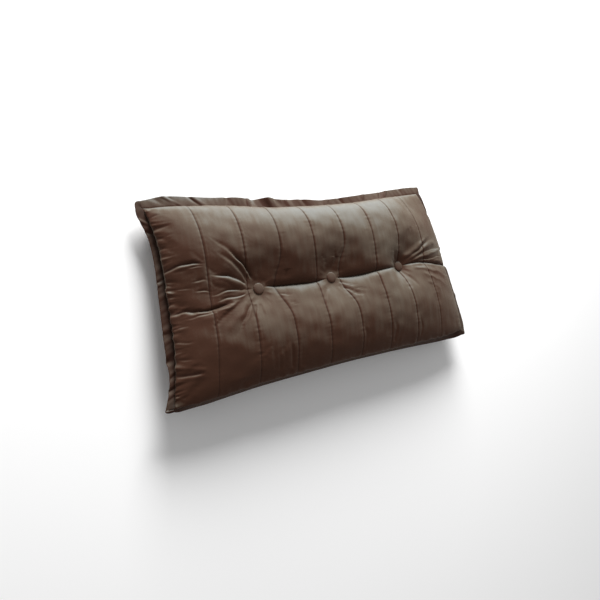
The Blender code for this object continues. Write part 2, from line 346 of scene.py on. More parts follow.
@dataclass(frozen=True)
class VelvetToneAndLight:
    """The velvet's colour: random patches, streaks and fibres of tone; painted light and shade by which way the
    velvet faces and in set patches; a painted highlight colour; and painted shade along the seams, the left edge
    and the crevices of folds.
    """

    name: str = "Velvet tone and painted light"
    patch_detail: float = 3.0
    streak_stretch: tuple[float, float, float] = (1.0, 0.16, 0.5)
    streak_scale: float = 70.0
    streak_detail: float = 4.0
    fibre_scale: float = 900.0
    fibre_detail: float = 2.0
    fibre_share: float = 0.35
    # Painted light and shade by facing: lighter facing +Y, darker facing -Y and -X, slightly darker facing +X,
    # faded out where the velvet is steep
    right_slope: float = -0.05
    left_slope: float = 0.95
    flat_gain: float = 2.2
    flat_start: float = 0.50
    even: float = 0.27
    # Where the painted highlight colour starts to take over, and how fast
    highlight_start: float = 0.52
    highlight_gain: float = 1.9
    # The painted shade colour in the seams, along the left edge and in fold crevices, and its strongest share
    painted_shade: Colour = (0.019, 0.0068, 0.0040, 1.0)
    painted_shade_share: float = 0.7
    patch_roughness: float = 0.25

    def group(self) -> bpy.types.NodeTree:
        """Gives the colour and the roughness as a node group.

        Returns:
            The node group, built once.
        """
        if self.name in bpy.data.node_groups:
            return bpy.data.node_groups[self.name]
        group = NodeGroup(self.name)
        group.socket("INPUT", Sockets.COLOUR, "Deep And Shaded Colour", "Light And Lit Colour", "Painted Highlight Colour")
        group.socket("INPUT", Sockets.NUMBER, "Facing Light Share", "Patch Scale", "Patch Share", "Streak Share")
        group.socket("INPUT", Sockets.NUMBER, "Roughness", "Painted Light And Shade", "Seam")
        group.socket("OUTPUT", Sockets.COLOUR, "Colour")
        group.socket("OUTPUT", Sockets.NUMBER, "Roughness")
        entry, maths, place = group.entry, group.maths, group.place()
        stretched = add_node(group.tree, "ShaderNodeMapping", {"Vector": place, "Scale": self.streak_stretch})
        streaks = group.noise(stretched.outputs["Vector"], self.streak_scale, self.streak_detail)
        fibres = group.noise(place, self.fibre_scale, self.fibre_detail)
        patches = group.uneven(group.noise(place, entry["Patch Scale"], self.patch_detail), entry["Patch Share"])
        streaked = group.uneven(streaks, entry["Streak Share"])
        uneven = maths("ADD", patches, streaked, group.uneven(fibres, self.fibre_share))
        # Painted light and shade by which way the velvet faces
        facing_light = self.facing_light(group)
        # The mix share: painted light and shade by facing and in patches, plus random tone
        mask = maths("ADD", maths("MULTIPLY", facing_light, entry["Facing Light Share"]), entry["Painted Light And Shade"], uneven, self.even)
        # Painted highlight: where the mix share is high, the highlight colour takes over
        highlight_share = maths("MULTIPLY", maths("SUBTRACT", mask, self.highlight_start), self.highlight_gain)
        colour = group.mixed(mask, entry["Deep And Shaded Colour"], entry["Light And Lit Colour"])
        colour = group.mixed(highlight_share, colour, entry["Painted Highlight Colour"])
        # Painted shade along the seams, the left edge and fold crevices
        colour = group.mixed(maths("MULTIPLY", entry["Seam"], self.painted_shade_share), colour, self.painted_shade)
        rough = maths("ADD", entry["Roughness"], maths("MULTIPLY", patches, self.patch_roughness))
        feed(group.exit, {"Colour": colour, "Roughness": rough})
        return group.tree

    def facing_light(self, group: NodeGroup) -> Socket:
        """Adds the nodes for the painted light and shade that follow which way the velvet faces.

        Args:
            group: The group that they go into.

        Returns:
            The share, above 0 where the velvet faces the top edge and below 0 where it faces the bottom edge or
            the left end, but 0 where it is level or steep.
        """
        maths = group.maths
        normal = group.tree.nodes.new("ShaderNodeTexCoord").outputs["Normal"]
        facing = add_node(group.tree, "ShaderNodeSeparateXYZ", {"Vector": normal}).outputs
        rightward = maths("MULTIPLY", maths("MAXIMUM", facing["X"], 0.0), self.right_slope)
        leftward = maths("MULTIPLY", maths("MINIMUM", facing["X"], 0.0), self.left_slope)
        flatness = maths("SUBTRACT", maths("MULTIPLY", facing["Z"], self.flat_gain), self.flat_start)
        flat = maths("MINIMUM", maths("MAXIMUM", flatness, 0.0), 1.0)
        return maths("MULTIPLY", maths("ADD", facing["Y"], maths("ADD", rightward, leftward)), flat)


@dataclass(frozen=True)
class Pile:
    """The short pile's tufts and the fine crush marks in it."""

    name: str = "Velvet pile"
    tuft_detail: float = 2.0
    crush_detail: float = 4.0

    def group(self) -> bpy.types.NodeTree:
        """Gives the height as a node group.

        Returns:
            The node group, built once.
        """
        if self.name in bpy.data.node_groups:
            return bpy.data.node_groups[self.name]
        group = NodeGroup(self.name)
        group.socket("INPUT", Sockets.NUMBER, "Tuft Scale", "Crush Scale", "Crush Share")
        group.socket("OUTPUT", Sockets.NUMBER, "Height")
        entry, place = group.entry, group.place()
        tufts = group.noise(place, entry["Tuft Scale"], self.tuft_detail)
        crush = group.noise(place, entry["Crush Scale"], self.crush_detail)
        height = group.maths("ADD", tufts, group.maths("MULTIPLY", crush, entry["Crush Share"]))
        feed(group.exit, {"Height": height})
        return group.tree


@dataclass(frozen=True)
class VelvetFinish:
    """One finish of the brown velvet."""

    name: str
    # deep and light: the shaded and lit colours of one velvet, mixed by painted light and shade and by random tone
    deep: Colour
    light: Colour
    # Painted highlight colour of the lightest places
    painted_highlight: Colour = (0.158, 0.159, 0.150, 1.0)
    facing_light_share: float = 0.95
    patch_scale: float = 9.0
    patch_share: float = 0.5
    streak_share: float = 0.4
    roughness: float = 0.78
    gloss: float = 0.16
    sheen: float = 0.15
    sheen_roughness: float = 0.40
    sheen_tint: Colour = (0.78, 0.76, 0.62, 1.0)
    tuft_scale: float = 1400.0
    crush_scale: float = 120.0
    crush_share: float = 0.8
    pile_height: float = 0.0006
    pile_strength: float = 0.5

    def material(self) -> bpy.types.Material:
        """Builds the finish.

        Returns:
            The material.
        """
        material = bpy.data.materials.new(self.name)
        material.use_nodes = True
        tree = material.node_tree
        nap = {
            "Deep And Shaded Colour": self.deep, "Light And Lit Colour": self.light, "Painted Highlight Colour": self.painted_highlight,
            "Facing Light Share": self.facing_light_share, "Patch Scale": self.patch_scale, "Patch Share": self.patch_share,
            "Streak Share": self.streak_share, "Roughness": self.roughness,
        }
        # Painted shade (seams, left edge, crevices) and painted light and shade (patches), read from the points'
        # marks
        for socket, name in (("Seam", PAINTED_SHADE_MARK), ("Painted Light And Shade", PAINTED_LIGHT_AND_SHADE_MARK)):
            nap[socket] = add_node(tree, "ShaderNodeAttribute", {}, attribute_name=name).outputs["Fac"]
        tufts = {"Tuft Scale": self.tuft_scale, "Crush Scale": self.crush_scale, "Crush Share": self.crush_share}
        lie = add_node(tree, "ShaderNodeGroup", nap, node_tree=VelvetToneAndLight().group()).outputs
        height = add_node(tree, "ShaderNodeGroup", tufts, node_tree=Pile().group()).outputs["Height"]
        pile = {"Strength": self.pile_strength, "Distance": self.pile_height, "Height": height}
        feed(tree.nodes["Principled BSDF"], {
            "Base Color": lie["Colour"], "Roughness": lie["Roughness"],
            "Normal": add_node(tree, "ShaderNodeBump", pile).outputs["Normal"],
            "Specular IOR Level": self.gloss, "Sheen Weight": self.sheen,
            "Sheen Roughness": self.sheen_roughness, "Sheen Tint": self.sheen_tint,
        })
        return material


# Each finish's deep colour is its shaded colour and its light colour its lit one: painted shade and light of one
# velvet, with random tone between them
FACE_VELVET = VelvetFinish(
    "face_velvet", deep=(0.052, 0.0195, 0.0098, 1.0), light=(0.142, 0.126, 0.096, 1.0)
)
FLANGE_VELVET = VelvetFinish(
    "flange_velvet", deep=(0.044, 0.0155, 0.0080, 1.0), light=(0.124, 0.104, 0.080, 1.0), streak_share=0.3
)
BUTTON_VELVET = VelvetFinish(
    "button_velvet", deep=(0.056, 0.0240, 0.0140, 1.0), light=(0.142, 0.120, 0.094, 1.0), streak_share=0.2
)

# Soft patches of painted light, lighter where more light falls, or painted shade where the change is negative.
# Each row has the patch's middle and its reach in x and y, in millimetres, and the change.
PAINTED_LIGHT_AND_SHADE_PATCHES = (
    (0, 218, 700, 28, -0.20),  # below the top seam, all along
    (0, 52, 500, 45, 0.18),  # above the crease, all along
    (200, 90, 120, 110, 0.22),  # left of the right button
    (10, 85, 80, 60, 0.14),  # above the middle button
    (420, 140, 90, 70, -0.24),  # top right
    (440, 25, 50, 26, 0.26),  # right end of the crease
    (-240, -55, 190, 45, -0.26),  # below the left button
    (330, -45, 100, 25, -0.16),  # below the right button
    (-430, -205, 110, 60, -0.28),  # bottom left
    (-490, -248, 30, 18, 0.45),  # the tip of the bottom left corner
    (220, -160, 120, 70, 0.10),  # between the middle and the right button, near the bottom
    (430, -60, 70, 90, -0.12),  # bottom right
    (-380, 268, 130, 20, 0.20),  # the flange at the top left
    (0, 260, 600, 18, 0.24),  # the flange along the top
)


def mark_painted_light_and_shade(piece: Piece) -> None:
    """Stores the painted light and shade of the patches at each of the piece's points.

    Args:
        piece: The piece, of which the points are in their final places.
    """
    flat = np.empty(3 * len(piece.data.vertices))
    piece.data.vertices.foreach_get("co", flat)
    x, y, _ = flat.reshape(-1, 3).T
    painted_light_and_shade = np.zeros(x.shape)
    for middle_x, middle_y, reach_x, reach_y, change in PAINTED_LIGHT_AND_SHADE_PATCHES:
        painted_light_and_shade += change * bell(x - middle_x / MM, reach_x / MM) * bell(y - middle_y / MM, reach_y / MM)
    mark(piece, PAINTED_LIGHT_AND_SHADE_MARK, painted_light_and_shade)


# ---- the stitched face


@dataclass(frozen=True)
class Tie:
    """A place where a covered button is tied down through the filling."""

    name: str
    x: float
    y: float
    floor: float
    well: float = 0.0160

    def distance(self, x: Array, y: Array) -> Array:
        """How far points are from the tie, in plan."""
        return np.hypot(x - self.x, y - self.y)


LEFT_TIE = Tie("button_left", -0.229, -0.010, 0.0440)
MIDDLE_TIE = Tie("button_middle", 0.001, -0.010, 0.0470)
RIGHT_TIE = Tie("button_right", 0.266, -0.007, 0.0350, 0.0135)
TIES = (LEFT_TIE, MIDDLE_TIE, RIGHT_TIE)


class FoldShape(Enum):
    """How a fold bends the velvet."""

    GROOVE = "a crisp groove with a steep side and a gentle one"
    SOFT = "a rounded swell or dip"


@dataclass(frozen=True)
class Fold:
    """One fold of the face, along a smooth path from its deep end to its shallow one.

    A groove has its gentle side above it and its steep side below, or the other way round where lean is -1,
    and a rolled ridge stands beside its steep side.
    """

    path: tuple[Point, ...]
    width: float
    height: float
    shape: FoldShape = FoldShape.GROOVE
    lean: int = 1
    ridge: float = 0.14
    fade_in: float = 0.12
    fade_out: float = 0.55

    STEPS = 20
    REACH = 3.5
    GENTLE_POWER = 1.15
    STEEP_POWER = 1.4
    STEEP_SHARE = 0.26
    RIDGE_PLACE = 2.6
    RIDGE_WIDTH = 2.0
    # The painted shade in a groove's crevice: its width as a share of the fold's width, the depth at which it is
    # full, its power, its place and its darkness
    CREVICE_SHARE = 0.30
    CREVICE_DEPTH = 0.0100
    CREVICE_POWER = 1.5
    CREVICE_PLACE = 0.7
    CREVICE_SHADE = 0.75

    def lift(self, x: Array, y: Array) -> Array:
        """How far the fold raises points, or lowers them.

        Args:
            x, y: The points in plan.

        Returns:
            The change of height at each point.
        """
        near, aside, strength = self.beside(x, y)
        raised = np.zeros(x.shape)
        raised[near] = self.height * strength * self.section(aside)
        return raised

    def crevice(self, x: Array, y: Array) -> Array:
        """How dark the painted shade is in the fold's crevice.

        Args:
            x, y: The points in plan.

        Returns:
            A share from 0 to 1 for each point.
        """
        marked = np.zeros(x.shape)
        if self.shape is FoldShape.GROOVE:
            near, aside, strength = self.beside(x, y)
            width = self.CREVICE_SHARE * self.width
            depth = min(1.0, -self.height / self.CREVICE_DEPTH) ** self.CREVICE_POWER
            marked[near] = self.CREVICE_SHADE * depth * strength * bell(aside - self.CREVICE_PLACE * width, width)
        return marked

    def beside(self, x: Array, y: Array) -> tuple[Array, Array, Array]:
        """Where the points near the fold lie beside it.

        Args:
            x, y: The points in plan.

        Returns:
            Which points are near, their distances to the fold's line, positive on its gentle side, and the
            fold's strength there.
        """
        path = smooth_path(self.path, self.STEPS)
        reach = self.REACH * self.width
        low, high = path.min(axis=0) - reach, path.max(axis=0) + reach
        near = (x > low[0]) & (x < high[0]) & (y > low[1]) & (y < high[1])
        near_x, near_y = x[near], y[near]
        nearest = np.full(near_x.shape, np.inf)
        aside, along = np.zeros(near_x.shape), np.zeros(near_x.shape)
        runs = np.diff(path, axis=0)
        lengths = np.hypot(runs[:, 0], runs[:, 1])
        passed = 0.0
        for start, run, length in zip(path, runs, lengths):
            off_x, off_y = near_x - start[0], near_y - start[1]
            share = np.clip((off_x * run[0] + off_y * run[1]) / length**2, 0.0, 1.0)
            away = np.hypot(off_x - share * run[0], off_y - share * run[1])
            side = np.sign(off_y * run[0] - off_x * run[1]) * (1.0 if run[0] > 0 else -1.0)
            closer = away < nearest
            nearest = np.where(closer, away, nearest)
            aside = np.where(closer, away * side, aside)
            along = np.where(closer, (passed + share * length) / lengths.sum(), along)
            passed += length
        strength = eased(along / self.fade_in) * eased((1.0 - along) / self.fade_out)
        return near, aside * self.lean, strength

    def section(self, aside: Array) -> Array:
        """The fold's section.

        Args:
            aside: Distances to the fold's line, positive on its gentle side.

        Returns:
            Shares of the fold's height, 1 at its line.
        """
        if self.shape is FoldShape.SOFT:
            return bell(aside, self.width)
        steep = self.width * self.STEEP_SHARE
        gentle_side = np.exp(-(np.maximum(aside, 0.0) / self.width) ** self.GENTLE_POWER)
        steep_side = np.exp(-(np.maximum(-aside, 0.0) / steep) ** self.STEEP_POWER)
        roll = self.ridge * bell(aside + self.RIDGE_PLACE * steep, self.RIDGE_WIDTH * steep)
        return np.where(aside > 0, gentle_side, steep_side) - roll


def groove(width: float, depth: float, *path: Point, **more: float) -> Fold:
    """A crisp fold pressed into the velvet, with its sizes and path in millimetres."""
    return Fold(tuple((x / MM, y / MM) for x, y in path), width / MM, -depth / MM, **more)


def soft(width: float, height: float, *path: Point, **more: float) -> Fold:
    """A rounded swell of the velvet, or a dip where the height is negative, in millimetres."""
    return Fold(tuple((x / MM, y / MM) for x, y in path), width / MM, height / MM, shape=FoldShape.SOFT, **more)


# Each fold of the face has its width, its depth or height, and its path from the deep end to the shallow one

# Folds that run to the left of the left button
LEFT_BUTTON_FOLDS = (
    groove(8.5, 9.8, (-238, 10), (-251, 32), (-264, 50), (-292, 83), (-318, 112)),
    groove(6.5, 3.7, (-252, 6), (-280, 40), (-302, 66), (-330, 90)),
    groove(8.5, 7, (-258, 4), (-291, 22), (-316, 29), (-341, 38), (-366, 44)),
    soft(9, 3, (-262, 0), (-300, 12), (-350, 20), (-395, 22)),
    groove(7, 4.1, (-262, -6), (-300, -3), (-345, -10), (-372, -8)),
    groove(5.5, 4.1, (-268, -16), (-300, -20), (-335, -26), (-362, -26)),
    groove(9.5, 10.7, (-296, -26), (-320, -37), (-353, -45), (-400, -43), (-444, -37), (-470, -36),
           fade_in=0.25, fade_out=0.1),
    groove(5, 4.1, (-352, -52), (-396, -53), (-421, -54), (-446, -57), fade_in=0.3),
    soft(8, 4, (-296, -30), (-330, -48), (-377, -61), (-443, -62)),
    groove(7, 4.1, (-262, -44), (-282, -70), (-305, -94), (-322, -118)),
    groove(6, 3.4, (-250, -46), (-262, -76), (-270, -105)),
    groove(5.5, 2.5, (-236, -48), (-240, -75), (-243, -98)),
    soft(10, 3, (-270, -40), (-300, -66), (-340, -85)),
)

# Folds along the left end, from the stitch line inwards
LEFT_END_FOLDS = (
    groove(9.5, 11.1, (-478, 56), (-455, 66), (-430, 74), (-400, 75), (-362, 71), fade_in=0.05, fade_out=0.3),
    groove(5, 2.9, (-402, 62), (-385, 65), (-366, 65), fade_in=0.3),
    groove(10, 7.8, (-474, 196), (-450, 206), (-412, 206), fade_in=0.05),
    groove(9.5, 7.4, (-474, 168), (-452, 173), (-412, 186), fade_in=0.05),
    soft(8, 4.2, (-474, 182), (-440, 192), (-395, 196), fade_in=0.05),
    groove(8.5, 5.6, (-474, 140), (-450, 146), (-415, 158), fade_in=0.05),
    groove(7, 3.8, (-472, 98), (-448, 101), (-425, 100), fade_in=0.05),
    groove(7, 4.2, (-472, 122), (-448, 126), (-420, 128), fade_in=0.05),
    groove(7, 2.9, (-470, 20), (-440, 18), (-395, 10), fade_in=0.05),
    groove(6, 2.9, (-404, 30), (-378, 32), (-362, 28), fade_in=0.3),
    groove(5.5, 2.5, (-400, 8), (-372, 6), (-352, -2), fade_in=0.3),
    groove(7, 5.7, (-470, -76), (-448, -75), (-420, -69), fade_in=0.05),
    groove(7, 4.9, (-474, -104), (-447, -107), (-422, -106), fade_in=0.05),
    groove(7, 4.8, (-480, -136), (-451, -146), (-424, -157), fade_in=0.05),
    groove(9, 9.8, (-488, -177), (-463, -181), (-441, -187), (-410, -196), fade_in=0.05, fade_out=0.35),
    soft(6.2, 4.2, (-490, -158), (-455, -169), (-425, -180), (-400, -190), fade_in=0.05, fade_out=0.3),
    groove(7.5, 6.4, (-492, -221), (-476, -227), (-460, -238), fade_in=0.05, fade_out=0.4),
)

# Folds beside the middle button, and short ones along the crease
MIDDLE_BUTTON_FOLDS = (
    groove(6, 2.9, (-12, 26), (-20, 40), (-32, 56)),
    groove(7.5, 4.1, (22, -24), (52, -40), (86, -56), (110, -62)),
    groove(7.5, 3.1, (26, -40), (56, -62), (90, -80)),
    soft(8, 2.5, (30, -30), (70, -48), (105, -56)),
    groove(8, 2.5, (12, 16), (18, 45), (14, 80), lean=-1),
    groove(7.5, 2.3, (-24, -36), (-44, -62), (-52, -90)),
    groove(5.5, 2.5, (-168, -34), (-156, -40), (-142, -46)),
    groove(6, 1.6, (-158, -60), (-146, -66), (-134, -68)),
)

# Folds that run to the right of the right button, down to the right end
RIGHT_BUTTON_FOLDS = (
    soft(7.5, 5.2, (281, 10), (310, 24), (347, 43), (380, 60), (420, 82)),
    groove(8.5, 2.4, (288, 4), (330, 26), (380, 46), (430, 66)),
    soft(6.6, 3.6, (304, 8), (361, 30), (409, 46), (455, 60), fade_out=0.2),
    groove(8, 1.8, (300, 0), (345, 15), (395, 28), (462, 42), fade_out=0.15),
    soft(5.5, 3.2, (312, 1), (372, 11), (421, 20), (464, 27), fade_out=0.12),
    groove(6, 2.4, (302, -3), (360, 1), (410, 4), (466, 8), fade_out=0.12),
    soft(5.2, 3, (300, -6), (362, -7), (426, -9), (466, -12), fade_out=0.12),
    soft(5, -1.2, (330, -17), (375, -20), (425, -28), (466, -36), fade_out=0.12),
    soft(5.2, 2.2, (312, -17), (345, -23), (385, -33), (440, -50), (468, -60), fade_out=0.15),
    soft(5, -1.2, (380, -40), (410, -53), (440, -66), (466, -80), fade_in=0.3, fade_out=0.2),
    soft(5.5, 1.8, (345, -40), (385, -56), (430, -80), (460, -98), fade_out=0.3),
    soft(6, 1.2, (350, -62), (385, -84), (418, -110), fade_out=0.3),
    soft(6.5, -3, (282, -36), (296, -60), (306, -92)),
    groove(6, 3.4, (474, 34), (450, 30), (420, 34), fade_in=0.05),
    groove(7, 2.2, (480, -60), (455, -54), (430, -50), fade_in=0.05),
    groove(7, 2.5, (246, 16), (240, 36), (242, 62)),
)

# Upright drag lines, mostly near the bottom edge
DRAG_LINES = (
    soft(4.5, -3.1, (-231, -219), (-232, -185), (-230, -140)),
    soft(4, -2.8, (-216, -219), (-219, -190), (-222, -165)),
    soft(4.5, -2.5, (-203, -219), (-207, -185), (-212, -150)),
    soft(4.5, -3.1, (-178, -221), (-180, -180), (-183, -135)),
    soft(4.5, -3.1, (-150, -222), (-152, -190), (-150, -160)),
    soft(4, -2.2, (-138, -222), (-141, -195), (-139, -170)),
    soft(4.5, -3.4, (64, -222), (66, -180), (63, -135)),
    soft(4, -2.8, (78, -222), (81, -190), (80, -155)),
    soft(4.5, -3.1, (176, -220), (178, -185), (176, -150)),
    soft(4, -2.2, (190, -220), (193, -195), (192, -170)),
    soft(4.5, -2.8, (285, -220), (287, -190), (284, -160)),
    soft(5.5, -1, (-144, 125), (-143, 95), (-145, 65)),
    soft(5, -2.8, (-142, 30), (-146, 12), (-150, -2)),
    soft(5.5, -1, (136, 110), (137, 80), (139, 50)),
    soft(5, -1.2, (326, 105), (328, 80), (331, 52)),
    soft(4.5, -1, (312, 100), (314, 78), (316, 58)),
)

FOLDS = LEFT_BUTTON_FOLDS + LEFT_END_FOLDS + MIDDLE_BUTTON_FOLDS + RIGHT_BUTTON_FOLDS + DRAG_LINES


@dataclass(frozen=True)
class StitchedFace:
    """The plan and relief of the filled face, from stitch line to stitch line.

    Its methods take places across and up the face, from -1 at the left and bottom stitch lines to 1 at the
    right and top ones, or points x and y in plan.
    """

    length: float = 0.950
    height: float = 0.450
    panels: int = 9
    taper: float = 0.014
    stitch_line_z: float = 0.062
    stitch_line_tilt: float = 0.015
    crown: float = 0.088
    middle: Point = (-0.0005, -0.00145)

    first_seam_lean: float = 0.009
    first_seam_across: float = -0.78
    first_seam_reach: float = 0.20
    draw_in_left: float = 0.020
    draw_in_right: float = -0.010
    bottom_line: tuple[Point, ...] = (
        (-1.0, -0.016), (-0.8, -0.021), (-0.5, -0.017), (0.0, -0.014), (0.4, -0.0165), (0.8, -0.019),
        (1.0, -0.016),
    )
    top_line: tuple[Point, ...] = (
        (-1.0, 0.000), (-0.88, 0.004), (-0.77, 0.004), (-0.54, -0.001), (-0.28, -0.016), (-0.11, -0.019),
        (0.09, -0.021), (0.33, -0.019), (0.60, -0.009), (0.80, -0.003), (1.0, 0.001),
    )
    draw_in_reach: int = 6
    corner_reaches: tuple[tuple[int, int, float, float], ...] = (
        (-1, 1, 0.007, 0.009), (1, 1, 0.001, 0.003), (1, -1, 0.007, 0.003), (-1, -1, 0.005, 0.015),
    )
    corner_power: int = 4

    bulge_left: float = 0.009
    bulge_right: float = 0.0075
    bulge_top: float = 0.004
    bulge_bottom: float = 0.012
    bulge_peak: float = 0.009
    bulge_end_power: int = 16
    bulge_unevenness: float = 0.12
    bulge_waves: tuple[Waves, Waves] = (Waves(61, 0.022, 0.090), Waves(62, 0.020, 0.080))
    left_gathers: float = 0.15
    left_gather_waves: Waves = Waves(63, 0.012, 0.040)

    left_squareness: float = 2.8
    right_squareness: float = 2.9
    length_rise: float = 0.50
    cross_squareness: float = 3.5
    cross_rise: float = 0.48
    top_cross_rise: float = 0.54

    crease_y: float = -0.012
    crease_line: tuple[Point, ...] = (
        (-0.480, -0.012), (-0.300, -0.010), (-0.213, -0.007), (-0.169, -0.010), (-0.110, -0.013),
        (-0.052, -0.015), (-0.002, -0.011), (0.029, -0.014), (0.106, -0.016), (0.155, -0.012),
        (0.267, -0.007), (0.342, -0.004), (0.400, -0.011), (0.455, -0.020), (0.480, -0.026),
    )
    valley: float = 0.018
    valley_width: float = 0.075
    deeper_valley: float = 0.010
    deeper_width: float = 0.090
    crease: float = 0.017
    crease_width: float = 0.015
    slit: float = 0.010
    slit_width: float = 0.0032
    pinch: float = 0.32
    pinch_width: float = 0.012
    bend_width: float = 0.045
    valley_shares: tuple[Point, ...] = (
        (-0.50, 1.0), (-0.10, 1.0), (0.05, 0.95), (0.13, 0.72), (0.20, 0.42), (0.27, 0.42), (0.35, 0.55),
        (0.50, 0.50),
    )
    crease_start: float = 0.020
    crease_fade: float = 0.015
    filled_share: float = 0.80

    well_reach: float = 0.033
    well_softness: float = 1.2
    well_pleats: float = 5.5
    well_pleat_height: float = 0.0016
    well_pleat_sharpness: float = 1.6
    well_pleat_wander: float = 0.7
    well_pleat_distance: float = 0.030
    well_pleat_reach: float = 0.012
    gather: float = 0.024
    gather_distance: float = 0.060
    gather_width: float = 0.028
    gather_left_share: float = 0.25
    gather_turn: float = 0.020
    gather_nearest: float = 0.0001

    fold_waver: float = 0.0022
    fold_waves: tuple[Waves, Waves] = (Waves(11, 0.030, 0.090), Waves(12, 0.030, 0.090))
    hollows: tuple[Row, ...] = (
        (-0.190, 0.045, 0.050, 0.005), (0.040, 0.045, 0.050, 0.005), (0.305, 0.045, 0.050, 0.006),
        (0.400, 0.195, 0.060, 0.026),
    )

    def inward(self, across: Array, up: Array) -> Places:
        """The distances in plan to the nearer end and to the nearer long side."""
        return (1 - np.abs(across)) * self.length / 2, (1 - np.abs(up)) * self.height / 2

    def on_plan(self, across: Array, up: Array) -> Places:
        """Where places of the face lie in plan, before the buttons gather the velvet.

        Args:
            across, up: Places on the face.

        Returns:
            The points' x and y.
        """
        x = across * (self.length / 2 - self.taper * up)
        near_seam = bell(across - self.first_seam_across, self.first_seam_reach)
        x = x - self.first_seam_lean * near_seam * np.clip(-up, 0.0, 1.0) ** 2
        left = self.draw_in_left * (1 - up**4)
        right = -self.draw_in_right * (1 - up**2)
        x = x + np.where(across < 0, left, right) * np.abs(across) ** self.draw_in_reach
        edge = np.where(up < 0, curve_through(self.bottom_line, across), curve_through(self.top_line, across))
        y = up * self.height / 2 + edge * np.abs(up) ** self.draw_in_reach
        for side_x, side_y, out_x, out_y in self.corner_reaches:
            share = (np.clip(side_x * across, 0.0, 1.0) * np.clip(side_y * up, 0.0, 1.0)) ** self.corner_power
            x, y = x + side_x * out_x * share, y + side_y * out_y * share
        return x, y

    def gathered(self, x: Array, y: Array) -> Places:
        """Draws points towards the buttons beside them, more from the right than from the left.

        Args:
            x, y: The points in plan.

        Returns:
            The points' new x and y.
        """
        for tie in TIES:
            aside = x - tie.x
            distance = np.maximum(tie.distance(x, y), self.gather_nearest)
            share = between(self.gather_left_share, 1.0, 0.5 + 0.5 * np.tanh(aside / self.gather_turn))
            pull = self.gather * share * bell(distance - self.gather_distance, self.gather_width)
            x = x - pull * aside / distance
        return x, y

    def bulged(self, across: Array, up: Array, x: Array, y: Array) -> Places:
        """Lets the filling push the sides of the body out over the stitch line.

        Args:
            across, up: Places on the face.
            x, y: The same points in plan.

        Returns:
            The points' new x and y.
        """
        sideways, upright = self.inward(across, up)
        along_y, along_x = self.bulge_waves
        gathers = self.left_gathers * self.left_gather_waves.along(y)
        uneven_x = 1 + eased(-across) * (gathers + self.bulge_unevenness * along_y.along(y))
        uneven_y = 1 + self.bulge_unevenness * along_x.along(x)
        power = self.bulge_end_power
        out_x = np.where(across < 0, -self.bulge_left, self.bulge_right) * (1 - up**power) * uneven_x
        out_y = np.where(up < 0, -self.bulge_bottom, self.bulge_top) * (1 - across**power) * uneven_y
        return x + out_x * swell(sideways, self.bulge_peak), y + out_y * swell(upright, self.bulge_peak)

    def rim_z(self, up: Array) -> Array:
        """The height of the stitch line, lower along the top edge than along the bottom one."""
        return self.stitch_line_z - self.stitch_line_tilt * up

    def fullness(self, across: Array, up: Array) -> Array:
        """How full the crown is.

        Args:
            across, up: Places on the face.

        Returns:
            Shares of the crown's largest height, 0 at the stitch line.
        """
        squareness = np.where(across < 0, self.left_squareness, self.right_squareness)
        along = np.maximum(0.0, 1 - np.abs(across) ** squareness) ** self.length_rise
        rise = np.where(up > 0, self.top_cross_rise, self.cross_rise)
        return along * np.maximum(0.0, 1 - np.abs(up) ** self.cross_squareness) ** rise

    def filled(self, across: Array, up: Array) -> Array:
        """How far the filling has risen behind the places, from 0 at the stitch line to 1."""
        return np.minimum(1.0, self.fullness(across, up) / self.filled_share)

    def started(self, x: Array) -> Array:
        """How far the sharp crease has started, from 0 left of the left button to 1 right of it."""
        return 1 / (1 + np.exp(-(x - LEFT_TIE.x + self.crease_start) / self.crease_fade))

    def crease_at(self, x: Array) -> Array:
        """The crease's own wavering line."""
        return curve_through(self.crease_line, x)

    def panel_share(self, across: Array) -> Array:
        """How far across the panels a place is, counted in panels from the left stitch line."""
        return (across + 1) / 2 * self.panels

    def seam_distance(self, across: Array) -> Array:
        """The distance to the nearest panel seam, negative on its left."""
        place = self.panel_share(across)
        return (place - np.clip(np.round(place), 1, self.panels - 1)) * self.length / self.panels

    def swells(self, across: Array, up: Array, x: Array, y: Array) -> Array:
        """The height of the big forms: crown, valley, crease and hollows.

        Args:
            across, up: Places on the face.
            x, y: The same points in plan.

        Returns:
            The height of each point.
        """
        full, filled = self.fullness(across, up), self.filled(across, up)
        off = y - self.crease_at(x)
        started = self.started(x)
        depth = filled * curve_through(self.valley_shares, x)
        z = self.rim_z(up) + self.crown * full + self.stitch_line_tilt * up * full
        z = z - self.valley * bell(off, self.valley_width) * depth
        z = z - self.deeper_valley * bell(off, self.deeper_width) * started * depth
        z = z - self.crease * tail(off, self.crease_width) * started * depth
        z = z - self.slit * tail(off, self.slit_width) * started * filled
        for hollow_x, hollow_y, reach, hollow in self.hollows:
            z = z - hollow * bell(np.hypot(x - hollow_x, y - hollow_y), reach) * filled
        return z

    def wavered(self, x: Array, y: Array) -> Places:
        """The points' places, moved a little so that the folds waver."""
        return tuple(along + self.fold_waver * waves.at(x, y) for along, waves in zip((x, y), self.fold_waves))

    def folds(self, x: Array, y: Array) -> Array:
        """How far all the folds raise each point."""
        spot = self.wavered(x, y)
        return sum(fold.lift(*spot) for fold in FOLDS)

    def crevices(self, x: Array, y: Array) -> Array:
        """How dark the painted shade is in the crevices of the folds."""
        spot = self.wavered(x, y)
        return np.max([fold.crevice(*spot) for fold in FOLDS], axis=0)

